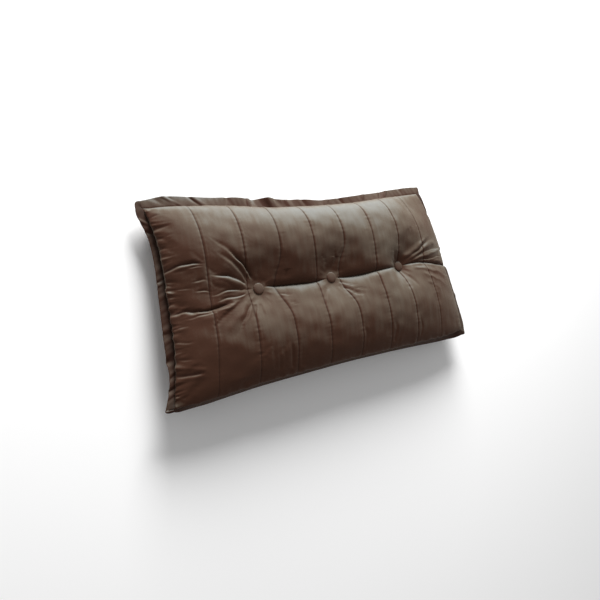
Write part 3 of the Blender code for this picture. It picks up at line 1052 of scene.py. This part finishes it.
    def wells(self, x: Array, y: Array, z: Array) -> Array:
        """Draws the velvet down to the floor below each button, in radial pleats round it.

        Args:
            x, y: The points in plan.
            z: Their heights.

        Returns:
            The points' new heights.
        """
        for number, tie in enumerate(TIES):
            away = tie.distance(x, y)
            turn = np.arctan2(y - tie.y, x - tie.x)
            wander = self.well_pleat_wander * np.sin(2 * turn + number)
            pleats = 1 - self.well_pleat_sharpness * np.abs(np.sin(self.well_pleats * turn + wander + number))
            z = z + self.well_pleat_height * pleats * bell(away - self.well_pleat_distance, self.well_pleat_reach)
            beyond = np.maximum(0.0, away - tie.well) / self.well_reach
            z = between(self.stitch_line_z + tie.floor, z, 1 - np.exp(-(beyond**self.well_softness)))
        return z

    def plan(self, across: Array, up: Array) -> Places:
        """Where places lie in plan, with the velvet drawn in towards the buttons and the crease.

        Args:
            across, up: Places on the face.

        Returns:
            The points' x and y.
        """
        x, y = self.gathered(*self.on_plan(across, up))
        started = self.started(x) * self.filled(across, up)
        bend = self.crease_at(x) - self.crease_y
        y = y + bend * bell(y - self.crease_y, self.bend_width) * started
        off = y - self.crease_at(x)
        return x, y - off * self.pinch * tail(off, self.pinch_width) * started

    def point(self, across: Array, up: Array) -> Array:
        """The filled face.

        Args:
            across, up: Places on the face.

        Returns:
            The points, with x, y and z in the last axis.
        """
        x, y = self.plan(across, up)
        z = self.swells(across, up, x, y) + self.folds(x, y) * self.filled(across, up)
        z = self.wells(x, y, z)
        x, y = self.bulged(across, up, x, y)
        return np.stack((x - self.middle[0], y - self.middle[1], z), axis=-1)


@dataclass(frozen=True)
class FineRelief:
    """The small relief of the sewn velvet: channels, puckers and slight unevenness."""

    channel: float = 0.0015
    channel_width: float = 0.0028
    channel_power: float = 1.3
    # Painted shade along the seams: its width, and how it fades out towards the top and bottom stitch lines
    seam_line: float = 0.0010
    seam_line_end: float = 0.02
    allowance: float = 0.0004
    allowance_width: float = 0.009
    allowance_rise: float = 0.002
    allowance_fall: float = 0.003
    panel_swell: float = 0.0012
    panel_squareness: float = 0.8
    seam_pucker: float = 0.00025
    seam_pucker_reach: float = 0.007
    seam_pucker_waves: Waves = Waves(21, 0.008, 0.020)
    seam_offset: float = 0.37
    rim_pucker: float = 0.0010
    rim_pucker_peak: float = 0.006
    rim_pucker_slant: float = 0.25
    rim_pucker_least: float = 0.4
    left_pucker: float = 1.2
    bottom_pucker: float = 0.2
    other_pucker: float = 0.3
    unevenness: float = 0.0006
    uneven_waves: Waves = Waves(31, 0.035, 0.110)
    # Painted shade along the left edge: its width and its strength
    shaded_edge: float = 0.005
    shaded_edge_share: float = 0.45

    def lift(self, face: StitchedFace, across: Array, up: Array, spot: Array) -> Array:
        """How far the fine relief raises each point.

        Args:
            face: The face that it lies on.
            across, up: Places on the face.
            spot: The points themselves.

        Returns:
            The change of height at each point.
        """
        x, y = spot[..., 0], spot[..., 1]
        beside, share = face.seam_distance(across), face.panel_share(across)
        allowance = eased(beside / self.allowance_rise)
        allowance = allowance * eased((self.allowance_width - beside) / self.allowance_fall)
        within = share % 1.0
        tugs = self.seam_pucker_waves.along(y + self.seam_offset * np.round(share))
        lifted = -self.channel * np.exp(-((np.abs(beside) / self.channel_width) ** self.channel_power))
        lifted = lifted + self.allowance * allowance
        lifted = lifted + self.panel_swell * (4 * within * (1 - within)) ** self.panel_squareness
        lifted = lifted + self.seam_pucker * tugs * tail(beside, self.seam_pucker_reach)
        lifted = (lifted + self.unevenness * self.uneven_waves.at(x, y)) * face.filled(across, up)
        return lifted + self.puckers(face, across, up, x, y)

    def puckers(self, face: StitchedFace, across: Array, up: Array, x: Array, y: Array) -> Array:
        """The gathers that the stitch line draws in all round, strongest along the left end.

        Args:
            face: The face that they lie on.
            across, up: Places on the face.
            x, y: The same points in plan.

        Returns:
            The change of height at each point.
        """
        sideways, upright = face.inward(across, up)
        total = np.zeros(x.shape)
        sides = (
            (sideways, y, np.where(across < 0, self.left_pucker, self.other_pucker), 41),
            (upright, x, np.where(up < 0, self.bottom_pucker, self.other_pucker), 42),
        )
        for distance, along, strength, seed in sides:
            slant = along + self.rim_pucker_slant * distance * Waves(seed + 20, 0.05, 0.15).along(along)
            uneven = self.rim_pucker_least + np.abs(Waves(seed + 10, 0.04, 0.12).along(along))
            waves = Waves(seed, 0.008, 0.022).along(slant) * uneven
            total = total + self.rim_pucker * strength * swell(distance, self.rim_pucker_peak) * waves
        return total

    def painted_shade(self, face: StitchedFace, across: Array, up: Array) -> Array:
        """How strong the painted shade is, along the seams, the left edge and the crevices of folds.

        Args:
            face: The face that it lies on.
            across, up: Places on the face.

        Returns:
            A share from 0 to 1 for each point.
        """
        seams = bell(face.seam_distance(across), self.seam_line) * eased((1 - np.abs(up)) / self.seam_line_end)
        left_edge = bell((1 + across) * face.length / 2, self.shaded_edge)
        edges = np.maximum(seams, self.shaded_edge_share * left_edge)
        return np.maximum(edges, face.crevices(*face.plan(across, up)))


# ---- wrinkles that the cloth makes by itself


@dataclass
class SettledVelvet:
    """The front velvet, let settle as slack cloth over its filling while the stitching and the ties hold it.

    Only the wrinkles that this makes are kept. The big forms stay those of the stitched face.
    """

    face: StitchedFace
    cells_per_panel: int = 18
    row_count: int = 80
    slack: float = 0.040
    slack_places: tuple[Row, ...] = ((-0.350, 0.130, 1.0), (0.400, 0.110, 0.2), (0.010, 0.080, 0.35))
    least_slack: float = 0.12
    pressure: float = 4.0
    stiffness: float = 12.0
    bending: float = 0.08
    mass: float = 0.3
    quality: int = 6
    frames: int = 20
    rim_hold: float = 0.004
    tie_hold: float = 0.020
    tie_hold_fade: float = 0.004
    crease_hold: float = 0.004
    broad: float = 0.026
    cap: float = 0.0045
    kept_per_slack: float = 1.6

    def holds(self, across: Array, up: Array, spot: Array) -> Array:
        """How firmly each point is held.

        Args:
            across, up: Places on the face.
            spot: The points themselves.

        Returns:
            A share from 0 to 1 for each point.
        """
        x, y = spot[..., 0], spot[..., 1]
        rim = bell(np.minimum(*self.face.inward(across, up)), self.rim_hold)
        crease = bell(y - self.face.crease_at(x), self.crease_hold)
        firm = np.maximum(rim, crease * self.face.started(x))
        for tie in TIES:
            beyond = np.maximum(0.0, tie.distance(x, y) - self.tie_hold)
            firm = np.maximum(firm, bell(beyond, self.tie_hold_fade))
        return firm

    def slackness(self, spot: Array) -> Array:
        """How much of the slack each point gets, most to the left of the left button."""
        share = sum(most * bell(spot[..., 0] - place, reach) for place, reach, most in self.slack_places)
        return np.clip(share, self.least_slack, 1.0)

    def cloth_settings(self) -> dict[str, object]:
        """How the cloth behaves.

        Returns:
            Its settings, by their names in Blender.
        """
        return {
            "quality": self.quality, "mass": self.mass, "bending_stiffness": self.bending,
            "tension_stiffness": self.stiffness, "compression_stiffness": self.stiffness,
            "shear_stiffness": self.stiffness / 3, "pin_stiffness": 1.0, "vertex_group_mass": "held",
            "vertex_group_shrink": "slack", "shrink_min": 0.0, "shrink_max": -self.slack,
            "use_pressure": True, "uniform_pressure_force": self.pressure,
        }

    def settle(self, start: Array, firm: Array) -> Array:
        """Runs the cloth until it has settled.

        Args:
            start: The grid of points at the start.
            firm: How firmly each point is held.

        Returns:
            The grid of points at the end.
        """
        cloth = new_object("settling_velvet", start.reshape(-1, 3), quads(numbered(*start.shape[:2])))
        for name, weights in (("held", firm), ("slack", self.slackness(start))):
            group = cloth.vertex_groups.new(name=name)
            for number, weight in enumerate(weights.ravel().tolist()):
                group.add([number], weight, "REPLACE")
        modifier = cloth.modifiers.new("settling", "CLOTH")
        for name, value in self.cloth_settings().items():
            setattr(modifier.settings, name, value)
        modifier.settings.effector_weights.gravity = 0.0
        modifier.collision_settings.use_collision = False
        modifier.point_cache.frame_start, modifier.point_cache.frame_end = 1, self.frames
        scene = bpy.context.scene
        for frame_number in range(1, self.frames + 1):
            scene.frame_set(frame_number)
        settled = cloth.evaluated_get(bpy.context.evaluated_depsgraph_get())
        flat = np.empty(start.size)
        settled.data.vertices.foreach_get("co", flat)
        mesh = cloth.data
        bpy.data.objects.remove(cloth)
        bpy.data.meshes.remove(mesh)
        scene.frame_set(1)
        return flat.reshape(start.shape)

    def without_broad(self, moves: Array, columns: Array, rows: Array) -> Array:
        """Takes the broad part out of the moves, so that only wrinkles are left.

        Args:
            moves: The moves of a grid of points.
            columns: The grid's columns, from -1 to 1.
            rows: The grid's rows, from -1 to 1.

        Returns:
            The moves without their broad part.
        """
        broad = moves
        for axis, places, size in ((1, columns, self.face.length), (0, rows, self.face.height)):
            blur = bell((places[:, None] - places[None, :]) * size / 2, self.broad)
            blur /= blur.sum(axis=1, keepdims=True)
            broad = np.moveaxis(np.tensordot(blur, broad, axes=(1, axis)), 0, axis)
        return moves - broad

    def wrinkles(self, fine_columns: Array, fine_rows: Array) -> Array:
        """The wrinkles, on a finer grid.

        Args:
            fine_columns: The finer grid's columns, from -1 to 1.
            fine_rows: The finer grid's rows, from -1 to 1.

        Returns:
            How far each of its points moves in x, y and z.
        """
        columns = np.linspace(-1.0, 1.0, self.face.panels * self.cells_per_panel + 1)
        rows = np.linspace(-1.0, 1.0, self.row_count + 1)
        across, up = np.meshgrid(columns, rows)
        start = self.face.point(across, up)
        firm = self.holds(across, up, start)
        moves = self.settle(start, firm) - start
        moves = self.without_broad(moves, columns, rows) * (1 - firm)[..., None]
        length = np.maximum(np.linalg.norm(moves, axis=-1, keepdims=True), TINY)
        log.info("cloth: moves up to %.1f mm before the cap", MM * float(length.max()))
        kept = np.clip(self.kept_per_slack * self.slackness(start), 0.0, 1.0)[..., None]
        moves = moves * kept * self.cap * np.tanh(length / self.cap) / length
        by_row = np.tensordot(curve_weights(rows, fine_rows), moves, axes=(1, 0))
        return np.moveaxis(np.tensordot(curve_weights(columns, fine_columns), by_row, axes=(1, 1)), 0, 1)


# ---- the filled body


@dataclass
class CushionCover:
    """The filled velvet body: nine panels in front, one behind, closed at the stitch line."""

    face: StitchedFace
    relief: FineRelief = field(default_factory=FineRelief)
    finish: VelvetFinish = FACE_VELVET
    panel_columns: tuple[int, ...] = (28, 42, 36, 20, 28, 20, 28, 38, 30)
    seam_step: float = 0.0011
    half_rows: int = 157
    row_crowding: float = 0.22
    wall: float = 0.003
    first_ring: float = 0.992
    base_share: float = 0.66
    back_rings: int = 8
    back_squareness: float = 2.2
    fill: float = 0.8

    def columns(self) -> Array:
        """The mesh columns, closest beside the panel seams.

        Returns:
            Places from -1 to 1.
        """
        places = []
        for panel, count in enumerate(self.panel_columns):
            even_step = self.face.length / self.face.panels / count
            crowding = 1 - min(1.0, self.seam_step / even_step)
            places += [panel + share for share in crowded_places(count, crowding)[:-1]]
        return 2 * np.array(places + [self.face.panels]) / self.face.panels - 1

    def rows(self) -> Array:
        """The mesh rows, closest beside the crease and the stitch line.

        Returns:
            Places from -1 to 1.
        """
        crease = 2 * self.face.crease_y / self.face.height
        shares = crowded_places(self.half_rows, self.row_crowding)
        return np.concatenate((between(crease, -1.0, shares[:0:-1]), between(crease, 1.0, shares)))

    def front(self, across: Array, up: Array) -> Array:
        """The whole front.

        Args:
            across, up: The grid's places on the face.

        Returns:
            The grid of points.
        """
        spot = self.face.point(across, up)
        spot = spot + SettledVelvet(self.face).wrinkles(across[0], up[:, 0])
        spot[..., 2] += self.relief.lift(self.face, across, up, spot)
        return spot

    def build(self) -> Piece:
        """Makes the closed body.

        Returns:
            The body's object, without its finish.
        """
        across, up = np.meshgrid(self.columns(), self.rows())
        front = self.front(across, up)
        numbers = numbered(*front.shape[:2])
        edge = np.concatenate((numbers[0], numbers[1:, -1], numbers[-1, -2::-1], numbers[-2:0:-1, 0]))
        points = front.reshape(-1, 3)
        rim = points[edge].copy()
        points[edge, 2] += self.wall / 2
        rim[:, 2] -= self.wall / 2
        rings = [rim]
        for scale in np.linspace(self.first_ring, self.base_share, self.back_rings):
            inner = ((scale - self.base_share) / (1 - self.base_share)) ** self.back_squareness
            rings.append(rim * (scale, scale, 1 - math.sqrt(1 - inner)))
        loops = np.concatenate((edge[None], len(points) + numbered(len(rings), len(edge))))
        faces = quads(numbers) + quads(loops.T, closed_rows=True) + [tuple(loops[-1, ::-1].tolist())]
        piece = new_object("cushion_cover", np.concatenate([points] + rings), faces)
        # Painted shade along the seams, the left edge and fold crevices; none on the back
        painted_shade = self.relief.painted_shade(self.face, across, up)
        mark(piece, PAINTED_SHADE_MARK, np.concatenate((painted_shade.ravel(), np.zeros(loops[1:].size))))
        mark_painted_light_and_shade(piece)
        return piece

    def dress(self, piece: Piece) -> None:
        """Gives the body its velvet and its place in the frame.

        Args:
            piece: The body's object.
        """
        piece.data.materials.append(self.finish.material())
        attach(piece, BODY)
        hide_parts("cushion")


# ---- the flange


class Side(Enum):
    """The four sides of the cushion, in the order in which the flange runs round them."""

    TOP = "top"
    RIGHT = "right"
    BOTTOM = "bottom"
    LEFT = "left"

    @property
    def level(self) -> bool:
        """Whether the side runs along the cushion's length."""
        return self in (Side.TOP, Side.BOTTOM)

    @property
    def outward(self) -> int:
        """1 where the side faces +X or +Y, and -1 where it faces the other way."""
        return 1 if self in (Side.TOP, Side.RIGHT) else -1

    @property
    def onward(self) -> int:
        """1 where the flange runs along the side towards +X or +Y, and -1 where it runs back."""
        return 1 if self in (Side.TOP, Side.LEFT) else -1

    def corner(self, end: int) -> tuple[int, int]:
        """The signs of x and y at one end of the side, -1 or 1."""
        return (end, self.outward) if self.level else (self.outward, end)


@dataclass(frozen=True)
class Corner:
    """How far the flange reaches past the face's corner, how far its tip is lifted, and how square it is."""

    out_x: float
    out_y: float
    lift: float
    squareness: float


CORNERS = {
    (-1, 1): Corner(0.017, 0.020, 0.001, 3.6),
    (1, 1): Corner(0.019, 0.024, -0.004, 9.0),
    (1, -1): Corner(0.020, 0.016, -0.006, 7.0),
    (-1, -1): Corner(0.020, 0.006, -0.004, 2.6),
}

# The course of the flange along each side: places from -1 to 1, its slope in degrees and its width
COURSES = {
    Side.TOP: (
        (-1.0, -4, 27), (-0.90, -3, 30), (-0.80, -6, 29), (-0.60, -12, 28), (-0.42, -4, 32), (-0.33, -24, 36),
        (-0.22, 4, 36), (-0.10, -20, 34), (0.02, -4, 30), (0.16, -16, 27), (0.34, -6, 27), (0.52, -14, 27),
        (0.64, -20, 27), (0.78, -12, 27), (1.0, -8, 27),
    ),
    Side.RIGHT: (
        (-1.0, -10, 27), (-0.80, -12, 27), (-0.40, -13, 27), (-0.14, -14, 27), (-0.04, -36, 27), (0.20, -14, 27),
        (0.60, -12, 27), (0.85, -12, 27), (1.0, -8, 27),
    ),
    Side.BOTTOM: (
        (-1.0, -40, 27), (-0.95, -56, 27), (-0.90, -62, 27), (-0.60, -62, 27), (-0.20, -60, 27), (0.20, -62, 27),
        (0.60, -58, 27), (0.90, -46, 27), (1.0, -24, 27),
    ),
    Side.LEFT: (
        (-1.0, 4, 18), (-0.88, 4, 15), (-0.74, -4, 16), (-0.66, -20, 20), (-0.40, -10, 23), (0.00, -12, 21),
        (0.40, -6, 18), (0.75, -10, 18), (1.0, -4, 27),
    ),
}

# How dark the painted shade is beside the stitch line, and over which share of the flange's width
GROOVE_SHADES = {Side.TOP: (0.12, 0.30), Side.RIGHT: (0.85, 1.5), Side.BOTTOM: (0.75, 1.2), Side.LEFT: (0.85, 0.75)}

# How high the small gathers are along each side, in metres
GATHERS = {Side.TOP: 0.0006, Side.RIGHT: 0.0006, Side.BOTTOM: 0.0006, Side.LEFT: 0.0022}

# The slanting waves of the flange: each one's place on the stitch line, its place on the free edge, its width
# and its height
PLEATS = {
    Side.TOP: (
        (-360, -410, 7, 2.6), (-372, -398, 6, -2.0), (-400, -440, 10, -1.6), (-296, -330, 8, 2.2),
        (-310, -342, 6, -2.2), (-240, -232, 8, -4.5), (-176, -168, 6, 6.7), (-100, -112, 10, 5.0),
        (-62, -80, 15, -8.0), (-34, -44, 9, 4.2), (20, 4, 8, -3.7), (80, 94, 8, 3.3), (150, 138, 8, -3.7),
        (220, 236, 8, 3.7), (300, 316, 6, -5.7), (318, 334, 5, 5.3), (400, 392, 8, -3.3),
    ),
    Side.RIGHT: ((150, 158, 8, -3.0), (40, 36, 6, 3.0), (-18, -20, 8, -5.0), (-120, -128, 8, 2.5)),
    Side.BOTTOM: ((-420, -430, 8, -2.5), (-250, -240, 9, -1.5), (120, 130, 10, 1.5), (380, 390, 8, -2.0)),
    Side.LEFT: (
        (190, 204, 5, 3.0), (165, 176, 5, -2.5), (54, 46, 4, -3.0), (46, 40, 4, 3.0), (-76, -80, 5, -2.5),
        (-138, -146, 6, -6.0), (-150, -156, 5, 3.0), (-205, -212, 5, -5.0),
    ),
}


@dataclass
class Flange:
    """The flange: velvet folded double, sewn into the stitch line all round and rippled along its free edge."""

    face: StitchedFace
    finish: VelvetFinish = FLANGE_VELVET
    width: float = 0.027
    thickness: float = 0.0032
    root_thickness: float = 0.45
    root_reach: float = 0.22
    corner_span: int = 14
    corner_steps: int = 16
    tuck: float = 0.0012
    steps_per_metre: float = 440.0
    cross_steps: int = 12
    edge_steps: int = 4
    least_pleat: float = 0.35
    ripple_waves: Waves = Waves(55, 0.014, 0.050)
    ripple_slant: float = 0.35
    ripple_rise: float = 2.6
    ripple_fall: float = 2.2

    def borders(self, side: Side) -> tuple[Array, Array, Array]:
        """The flange's borders along one side, before its thickness.

        Args:
            side: The side of the cushion.

        Returns:
            The inner points, the offsets from them to the free edge, and the places along the side in metres.
        """
        length = self.face.length if side.level else self.face.height
        along = np.linspace(-1.0, 1.0, int(length * self.steps_per_metre) + 1) * side.onward
        fixed = np.full(along.shape, float(side.outward))
        across, up = (along, fixed) if side.level else (fixed, along)
        x, y = self.face.on_plan(across, up)
        inner = np.stack((x, y, self.face.rim_z(up)), axis=-1)
        places, slopes, widths = np.array(COURSES[side]).T
        weights = curve_weights(places, along)
        slope, width = np.radians(weights @ slopes), weights @ widths / MM
        first, last = (CORNERS[side.corner(end)] for end in (-1, 1))
        share = (along + 1) / 2
        middle = 1 - np.abs(along) ** self.corner_span
        ends = between(first.out_y, last.out_y, share) if side.level else between(first.out_x, last.out_x, share)
        out = side.outward * between(ends, width * np.cos(slope), middle)
        lift = between(between(first.lift, last.lift, share), width * np.sin(slope), middle)
        none = np.zeros(along.shape)
        offset = np.stack((none, out, lift) if side.level else (out, none, lift), axis=-1)
        return inner, offset, (x if side.level else y)

    def corner_offsets(self, before: Side, after: Side) -> Array:
        """The offsets that fan out round the corner between two sides.

        Args:
            before: The side that ends at the corner.
            after: The side that starts there.

        Returns:
            The offsets from the face's corner to the free edge.
        """
        level, upright = (before, after) if before.level else (after, before)
        corner = CORNERS[level.corner(upright.outward)]
        turn = np.linspace(0.0, QUARTER_TURN, self.corner_steps + 2)[1:-1]
        if before.level:
            turn = turn[::-1]
        size = (np.cos(turn) ** corner.squareness + np.sin(turn) ** corner.squareness) ** (-1 / corner.squareness)
        out_x = upright.outward * corner.out_x * np.cos(turn) * size
        out_y = level.outward * corner.out_y * np.sin(turn) * size
        return np.stack((out_x, out_y, np.full(turn.shape, corner.lift)), axis=-1)

    def waves(self, side: Side, places: Array, shares: Array) -> Array:
        """How far a side's pleats raise its points.

        Args:
            side: The side of the cushion.
            places: Places along it, in metres.
            shares: Shares of the way to the free edge.

        Returns:
            The change of height for each place and share.
        """
        raised = np.zeros((len(places), len(shares)))
        fade = between(self.least_pleat, 1.0, eased(shares))
        for inner, outer, width, height in np.array(PLEATS[side]) / MM:
            raised += height * bell(places[:, None] - between(inner, outer, shares), width) * fade
        return raised

    def section(self) -> Places:
        """The flange's half section.

        Returns:
            Shares of the way from the inner to the free border, and half thicknesses there.
        """
        share = np.linspace(0.0, 1.0, self.cross_steps + 1)
        half = self.thickness / 2 * between(self.root_thickness, 1.0, eased(share / self.root_reach))
        turn = np.linspace(0.0, QUARTER_TURN, self.edge_steps + 1)[1:]
        edge = 1.0 + self.thickness / 2 / self.width * np.sin(turn)
        return np.concatenate((share, edge)), np.concatenate((half, self.thickness / 2 * np.cos(turn)))

    def build(self) -> Piece:
        """Makes the flange as one closed ring.

        Returns:
            The flange's object, without its finish.
        """
        shares, halves = self.section()
        held = np.clip(shares, 0.0, 1.0)
        sides = list(Side)
        inner, offset, raised, gathers, marks = [], [], [], [], []
        for side, after in zip(sides, sides[1:] + sides[:1]):
            side_inner, side_offset, places = self.borders(side)
            fan = self.corner_offsets(side, after)
            pleats = self.waves(side, places, held)
            inner += [side_inner, np.repeat(side_inner[-1:], len(fan), axis=0)]
            offset += [side_offset, fan]
            raised += [pleats, np.repeat(pleats[-1:], len(fan), axis=0)]
            stations = len(places) + len(fan)
            gathers.append(np.full((stations, 1), GATHERS[side]))
            # Painted shade beside the stitch line, the same on both faces of the flange
            strength, reach = GROOVE_SHADES[side]
            faded = strength * bell(held, reach)
            marks.append(np.tile(np.concatenate((faded, faded[-2::-1])), (stations, 1)))
        inner, offset, raised, gathers = (np.concatenate(parts) for parts in (inner, offset, raised, gathers))
        centre = self.centre(inner, offset, shares)
        centre[..., 2] += raised + gathers * self.ripples(centre, offset, held)
        ring = self.thickened(centre, halves)
        faces = quads(numbered(*ring.shape[:2]), closed_rows=True, closed_columns=True)
        piece = new_object("flange_cloth", ring.reshape(-1, 3), faces)
        mark(piece, PAINTED_SHADE_MARK, np.concatenate(marks))
        mark_painted_light_and_shade(piece)
        return piece

    def centre(self, inner: Array, offset: Array, shares: Array) -> Array:
        """The flange's flat middle layer, tucked a little into the body.

        Args:
            inner: The points on the stitch line.
            offset: The way from each of them to the free edge.
            shares: The section's places from the inner to the free border.

        Returns:
            The grid of points, with a row for each point on the stitch line.
        """
        outward = offset[:, :2] / np.linalg.norm(offset[:, :2], axis=1, keepdims=True)
        root = inner.copy()
        root[:, :2] -= outward * self.tuck
        return root[:, None, :] + offset[:, None, :] * shares[None, :, None]

    def ripples(self, centre: Array, offset: Array, held: Array) -> Array:
        """The small gathers that the stitching draws into the flange.

        Args:
            centre: The flat middle layer.
            offset: The way from each point on the stitch line to the free edge.
            held: Shares of the way to the free edge.

        Returns:
            Values mostly between -1 and 1, for each point of the layer.
        """
        steps = np.linalg.norm(np.diff(centre[:, 0] + offset / 2, axis=0), axis=1)
        run = np.concatenate(([0.0], np.cumsum(steps)))[:, None]
        rise = self.ripple_rise * held * np.exp(-self.ripple_fall * held)
        return self.ripple_waves.along(run + self.ripple_slant * self.width * held) * rise

    def thickened(self, centre: Array, halves: Array) -> Array:
        """Gives the middle layer its thickness.

        Args:
            centre: The middle layer.
            halves: Half the thickness at each of its columns.

        Returns:
            The points all round each section.
        """
        around = np.roll(centre, -1, axis=0) - np.roll(centre, 1, axis=0)
        normal = np.cross(around, np.gradient(centre, axis=1))
        normal /= np.maximum(np.linalg.norm(normal, axis=-1, keepdims=True), TINY)
        normal *= np.where(normal[..., 2:3] < 0, -1.0, 1.0)
        over = centre + normal * halves[None, :, None]
        under = centre - normal * halves[None, :, None]
        ring = np.concatenate((over, under[:, -2::-1]), axis=1)
        ring[..., :2] -= self.face.middle
        return ring

    def dress(self, piece: Piece) -> None:
        """Gives the flange its velvet and its place in the frame.

        Args:
            piece: The flange's object.
        """
        piece.data.materials.append(self.finish.material())
        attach(piece, BODY)
        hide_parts(*(f"flange_{side.value}" for side in Side))


# ---- the buttons


@dataclass
class CoveredButton:
    """A domed shell button covered in the velvet, pleated round its rim."""

    face: StitchedFace
    tie: Tie
    finish: VelvetFinish = BUTTON_VELVET
    radius: float = 0.0152
    edge: float = 0.0015
    edge_climb: float = -0.35
    edge_draw_in: float = 0.10
    dome: float = 0.0034
    turns: int = 96
    rings: int = 18
    pleats: int = 13
    pleat_depth: float = 0.0007
    pleat_climb: float = 0.05
    pleat_reach: float = 0.28
    pleat_turn: float = 40.0
    standing: float = 0.0003

    def ring(self, climb: float) -> Array:
        """The points of one ring of the button.

        Args:
            climb: How high it is, from the edge's climb at the bottom to 0 at the rim and 1 at the top.

        Returns:
            The points, round the button's own middle.
        """
        turn = np.linspace(0.0, FULL_TURN, self.turns, endpoint=False)
        if climb < 0:
            radius = self.radius * (1 - self.edge_draw_in * climb / self.edge_climb)
            height = self.edge * (1 - climb / self.edge_climb)
        else:
            radius = self.radius * math.cos(QUARTER_TURN * climb)
            height = self.edge + self.dome * math.sin(QUARTER_TURN * climb)
        depth = self.pleat_depth * bell(np.array(climb - self.pleat_climb), self.pleat_reach)
        start = self.tie.x * self.pleat_turn
        out = radius + depth * (np.abs(np.sin(self.pleats / 2 * turn + start)) - 1.0)
        return np.stack((out * np.cos(turn), out * np.sin(turn), np.full(turn.shape, height)), axis=-1)

    def build(self) -> Piece:
        """Makes the button.

        Returns:
            The button's object, without its finish.
        """
        points = [self.ring(climb) for climb in np.linspace(self.edge_climb, 1.0, self.rings)[:-1]]
        numbers = numbered(len(points), self.turns)
        last, tip = numbers[-1].tolist(), numbers.size
        faces = quads(numbers, closed_columns=True)
        faces += [(here, after, tip) for here, after in zip(last, last[1:] + last[:1])]
        faces.append(tuple(numbers[0, ::-1].tolist()))
        points.append(np.array([[0.0, 0.0, self.edge + self.dome]]))
        floor = self.face.stitch_line_z + self.tie.floor + self.standing
        spot = (self.tie.x - self.face.middle[0], self.tie.y - self.face.middle[1], floor)
        return new_object(f"{self.tie.name}_cover", np.concatenate(points) + spot, faces)

    def dress(self, piece: Piece) -> None:
        """Gives the button its velvet and its place in the frame.

        Args:
            piece: The button's object.
        """
        piece.data.materials.append(self.finish.material())
        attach(piece, BODY)
        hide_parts(self.tie.name)


# ---- floor, light and camera


@dataclass
class Studio:
    """A plain pale floor, soft light from beyond the cushion's top edge, and the camera."""

    floor_size: float = 12.0
    floor_colour: Colour = (0.97, 0.97, 0.97, 1.0)
    floor_roughness: float = 0.9
    floor_gloss: float = 0.1
    world_colour: Colour = (1.0, 1.0, 1.0, 1.0)
    world_strength: float = 0.38
    key_place: Row = (0.45, 2.85, 1.45)
    key_size: float = 1.8
    key_power: float = 225.0
    camera_place: Row = (-0.9175, -0.13755, 1.362)
    camera_view: Row = (0.539, 0.055, -0.840)
    camera_down: Row = (-0.146, -0.977, -0.158)
    lens_mm: float = 33.6
    sensor_mm: float = 36.0

    def lay_floor(self) -> None:
        """Lays the floor under the cushion's back."""
        half = self.floor_size / 2
        corners = np.array([(-half, -half, 0.0), (half, -half, 0.0), (half, half, 0.0), (-half, half, 0.0)])
        floor = new_object("floor", corners, [(0, 1, 2, 3)], smooth=False)
        material = bpy.data.materials.new("pale_floor")
        material.use_nodes = True
        shine = {"Roughness": self.floor_roughness, "Specular IOR Level": self.floor_gloss}
        feed(material.node_tree.nodes["Principled BSDF"], {"Base Color": self.floor_colour, **shine})
        floor.data.materials.append(material)

    def light(self) -> None:
        """Adds the soft key light and the even light of a pale room."""
        scene = bpy.context.scene
        scene.view_settings.view_transform = "Standard"
        scene.world = bpy.data.worlds.new("pale_room")
        scene.world.use_nodes = True
        light = {"Color": self.world_colour, "Strength": self.world_strength}
        feed(scene.world.node_tree.nodes["Background"], light)
        lamp = bpy.data.lights.new("key_light", "AREA")
        lamp.shape = "DISK"
        lamp.size = self.key_size
        lamp.energy = self.key_power
        key = bpy.data.objects.new("key_light", lamp)
        key.location = self.key_place
        key.rotation_euler = (-Vector(self.key_place)).to_track_quat("-Z", "Y").to_euler()
        scene.collection.objects.link(key)

    def aim_camera(self) -> None:
        """Puts the camera at the photograph's angle to the face."""
        view = Vector(self.camera_view).normalized()
        down = Vector(self.camera_down)
        up = -(down - view * down.dot(view)).normalized()
        lens = bpy.data.cameras.new("camera")
        lens.sensor_width = self.sensor_mm
        lens.lens = self.lens_mm
        camera = bpy.data.objects.new("camera", lens)
        turned = Matrix((view.cross(up), up, -view)).transposed().to_4x4()
        camera.matrix_world = Matrix.Translation(self.camera_place) @ turned
        bpy.context.scene.collection.objects.link(camera)
        bpy.context.scene.camera = camera


def report(piece: Piece) -> None:
    """Logs a piece's name and how many triangles it has."""
    triangles = sum(len(face.vertices) - 2 for face in piece.data.polygons)
    log.info("%s: %d triangles", piece.name, triangles)


def main() -> None:
    """Builds and dresses every piece in order."""
    logging.basicConfig(level=logging.INFO, format="%(name)s %(message)s")
    studio = Studio()
    studio.lay_floor()
    studio.light()
    studio.aim_camera()
    face = StitchedFace()
    for maker in (CushionCover(face), Flange(face), *(CoveredButton(face, tie) for tie in TIES)):
        piece = maker.build()
        maker.dress(piece)
        report(piece)
    bpy.context.view_layer.update()


if __name__ == "__main__":
    main()
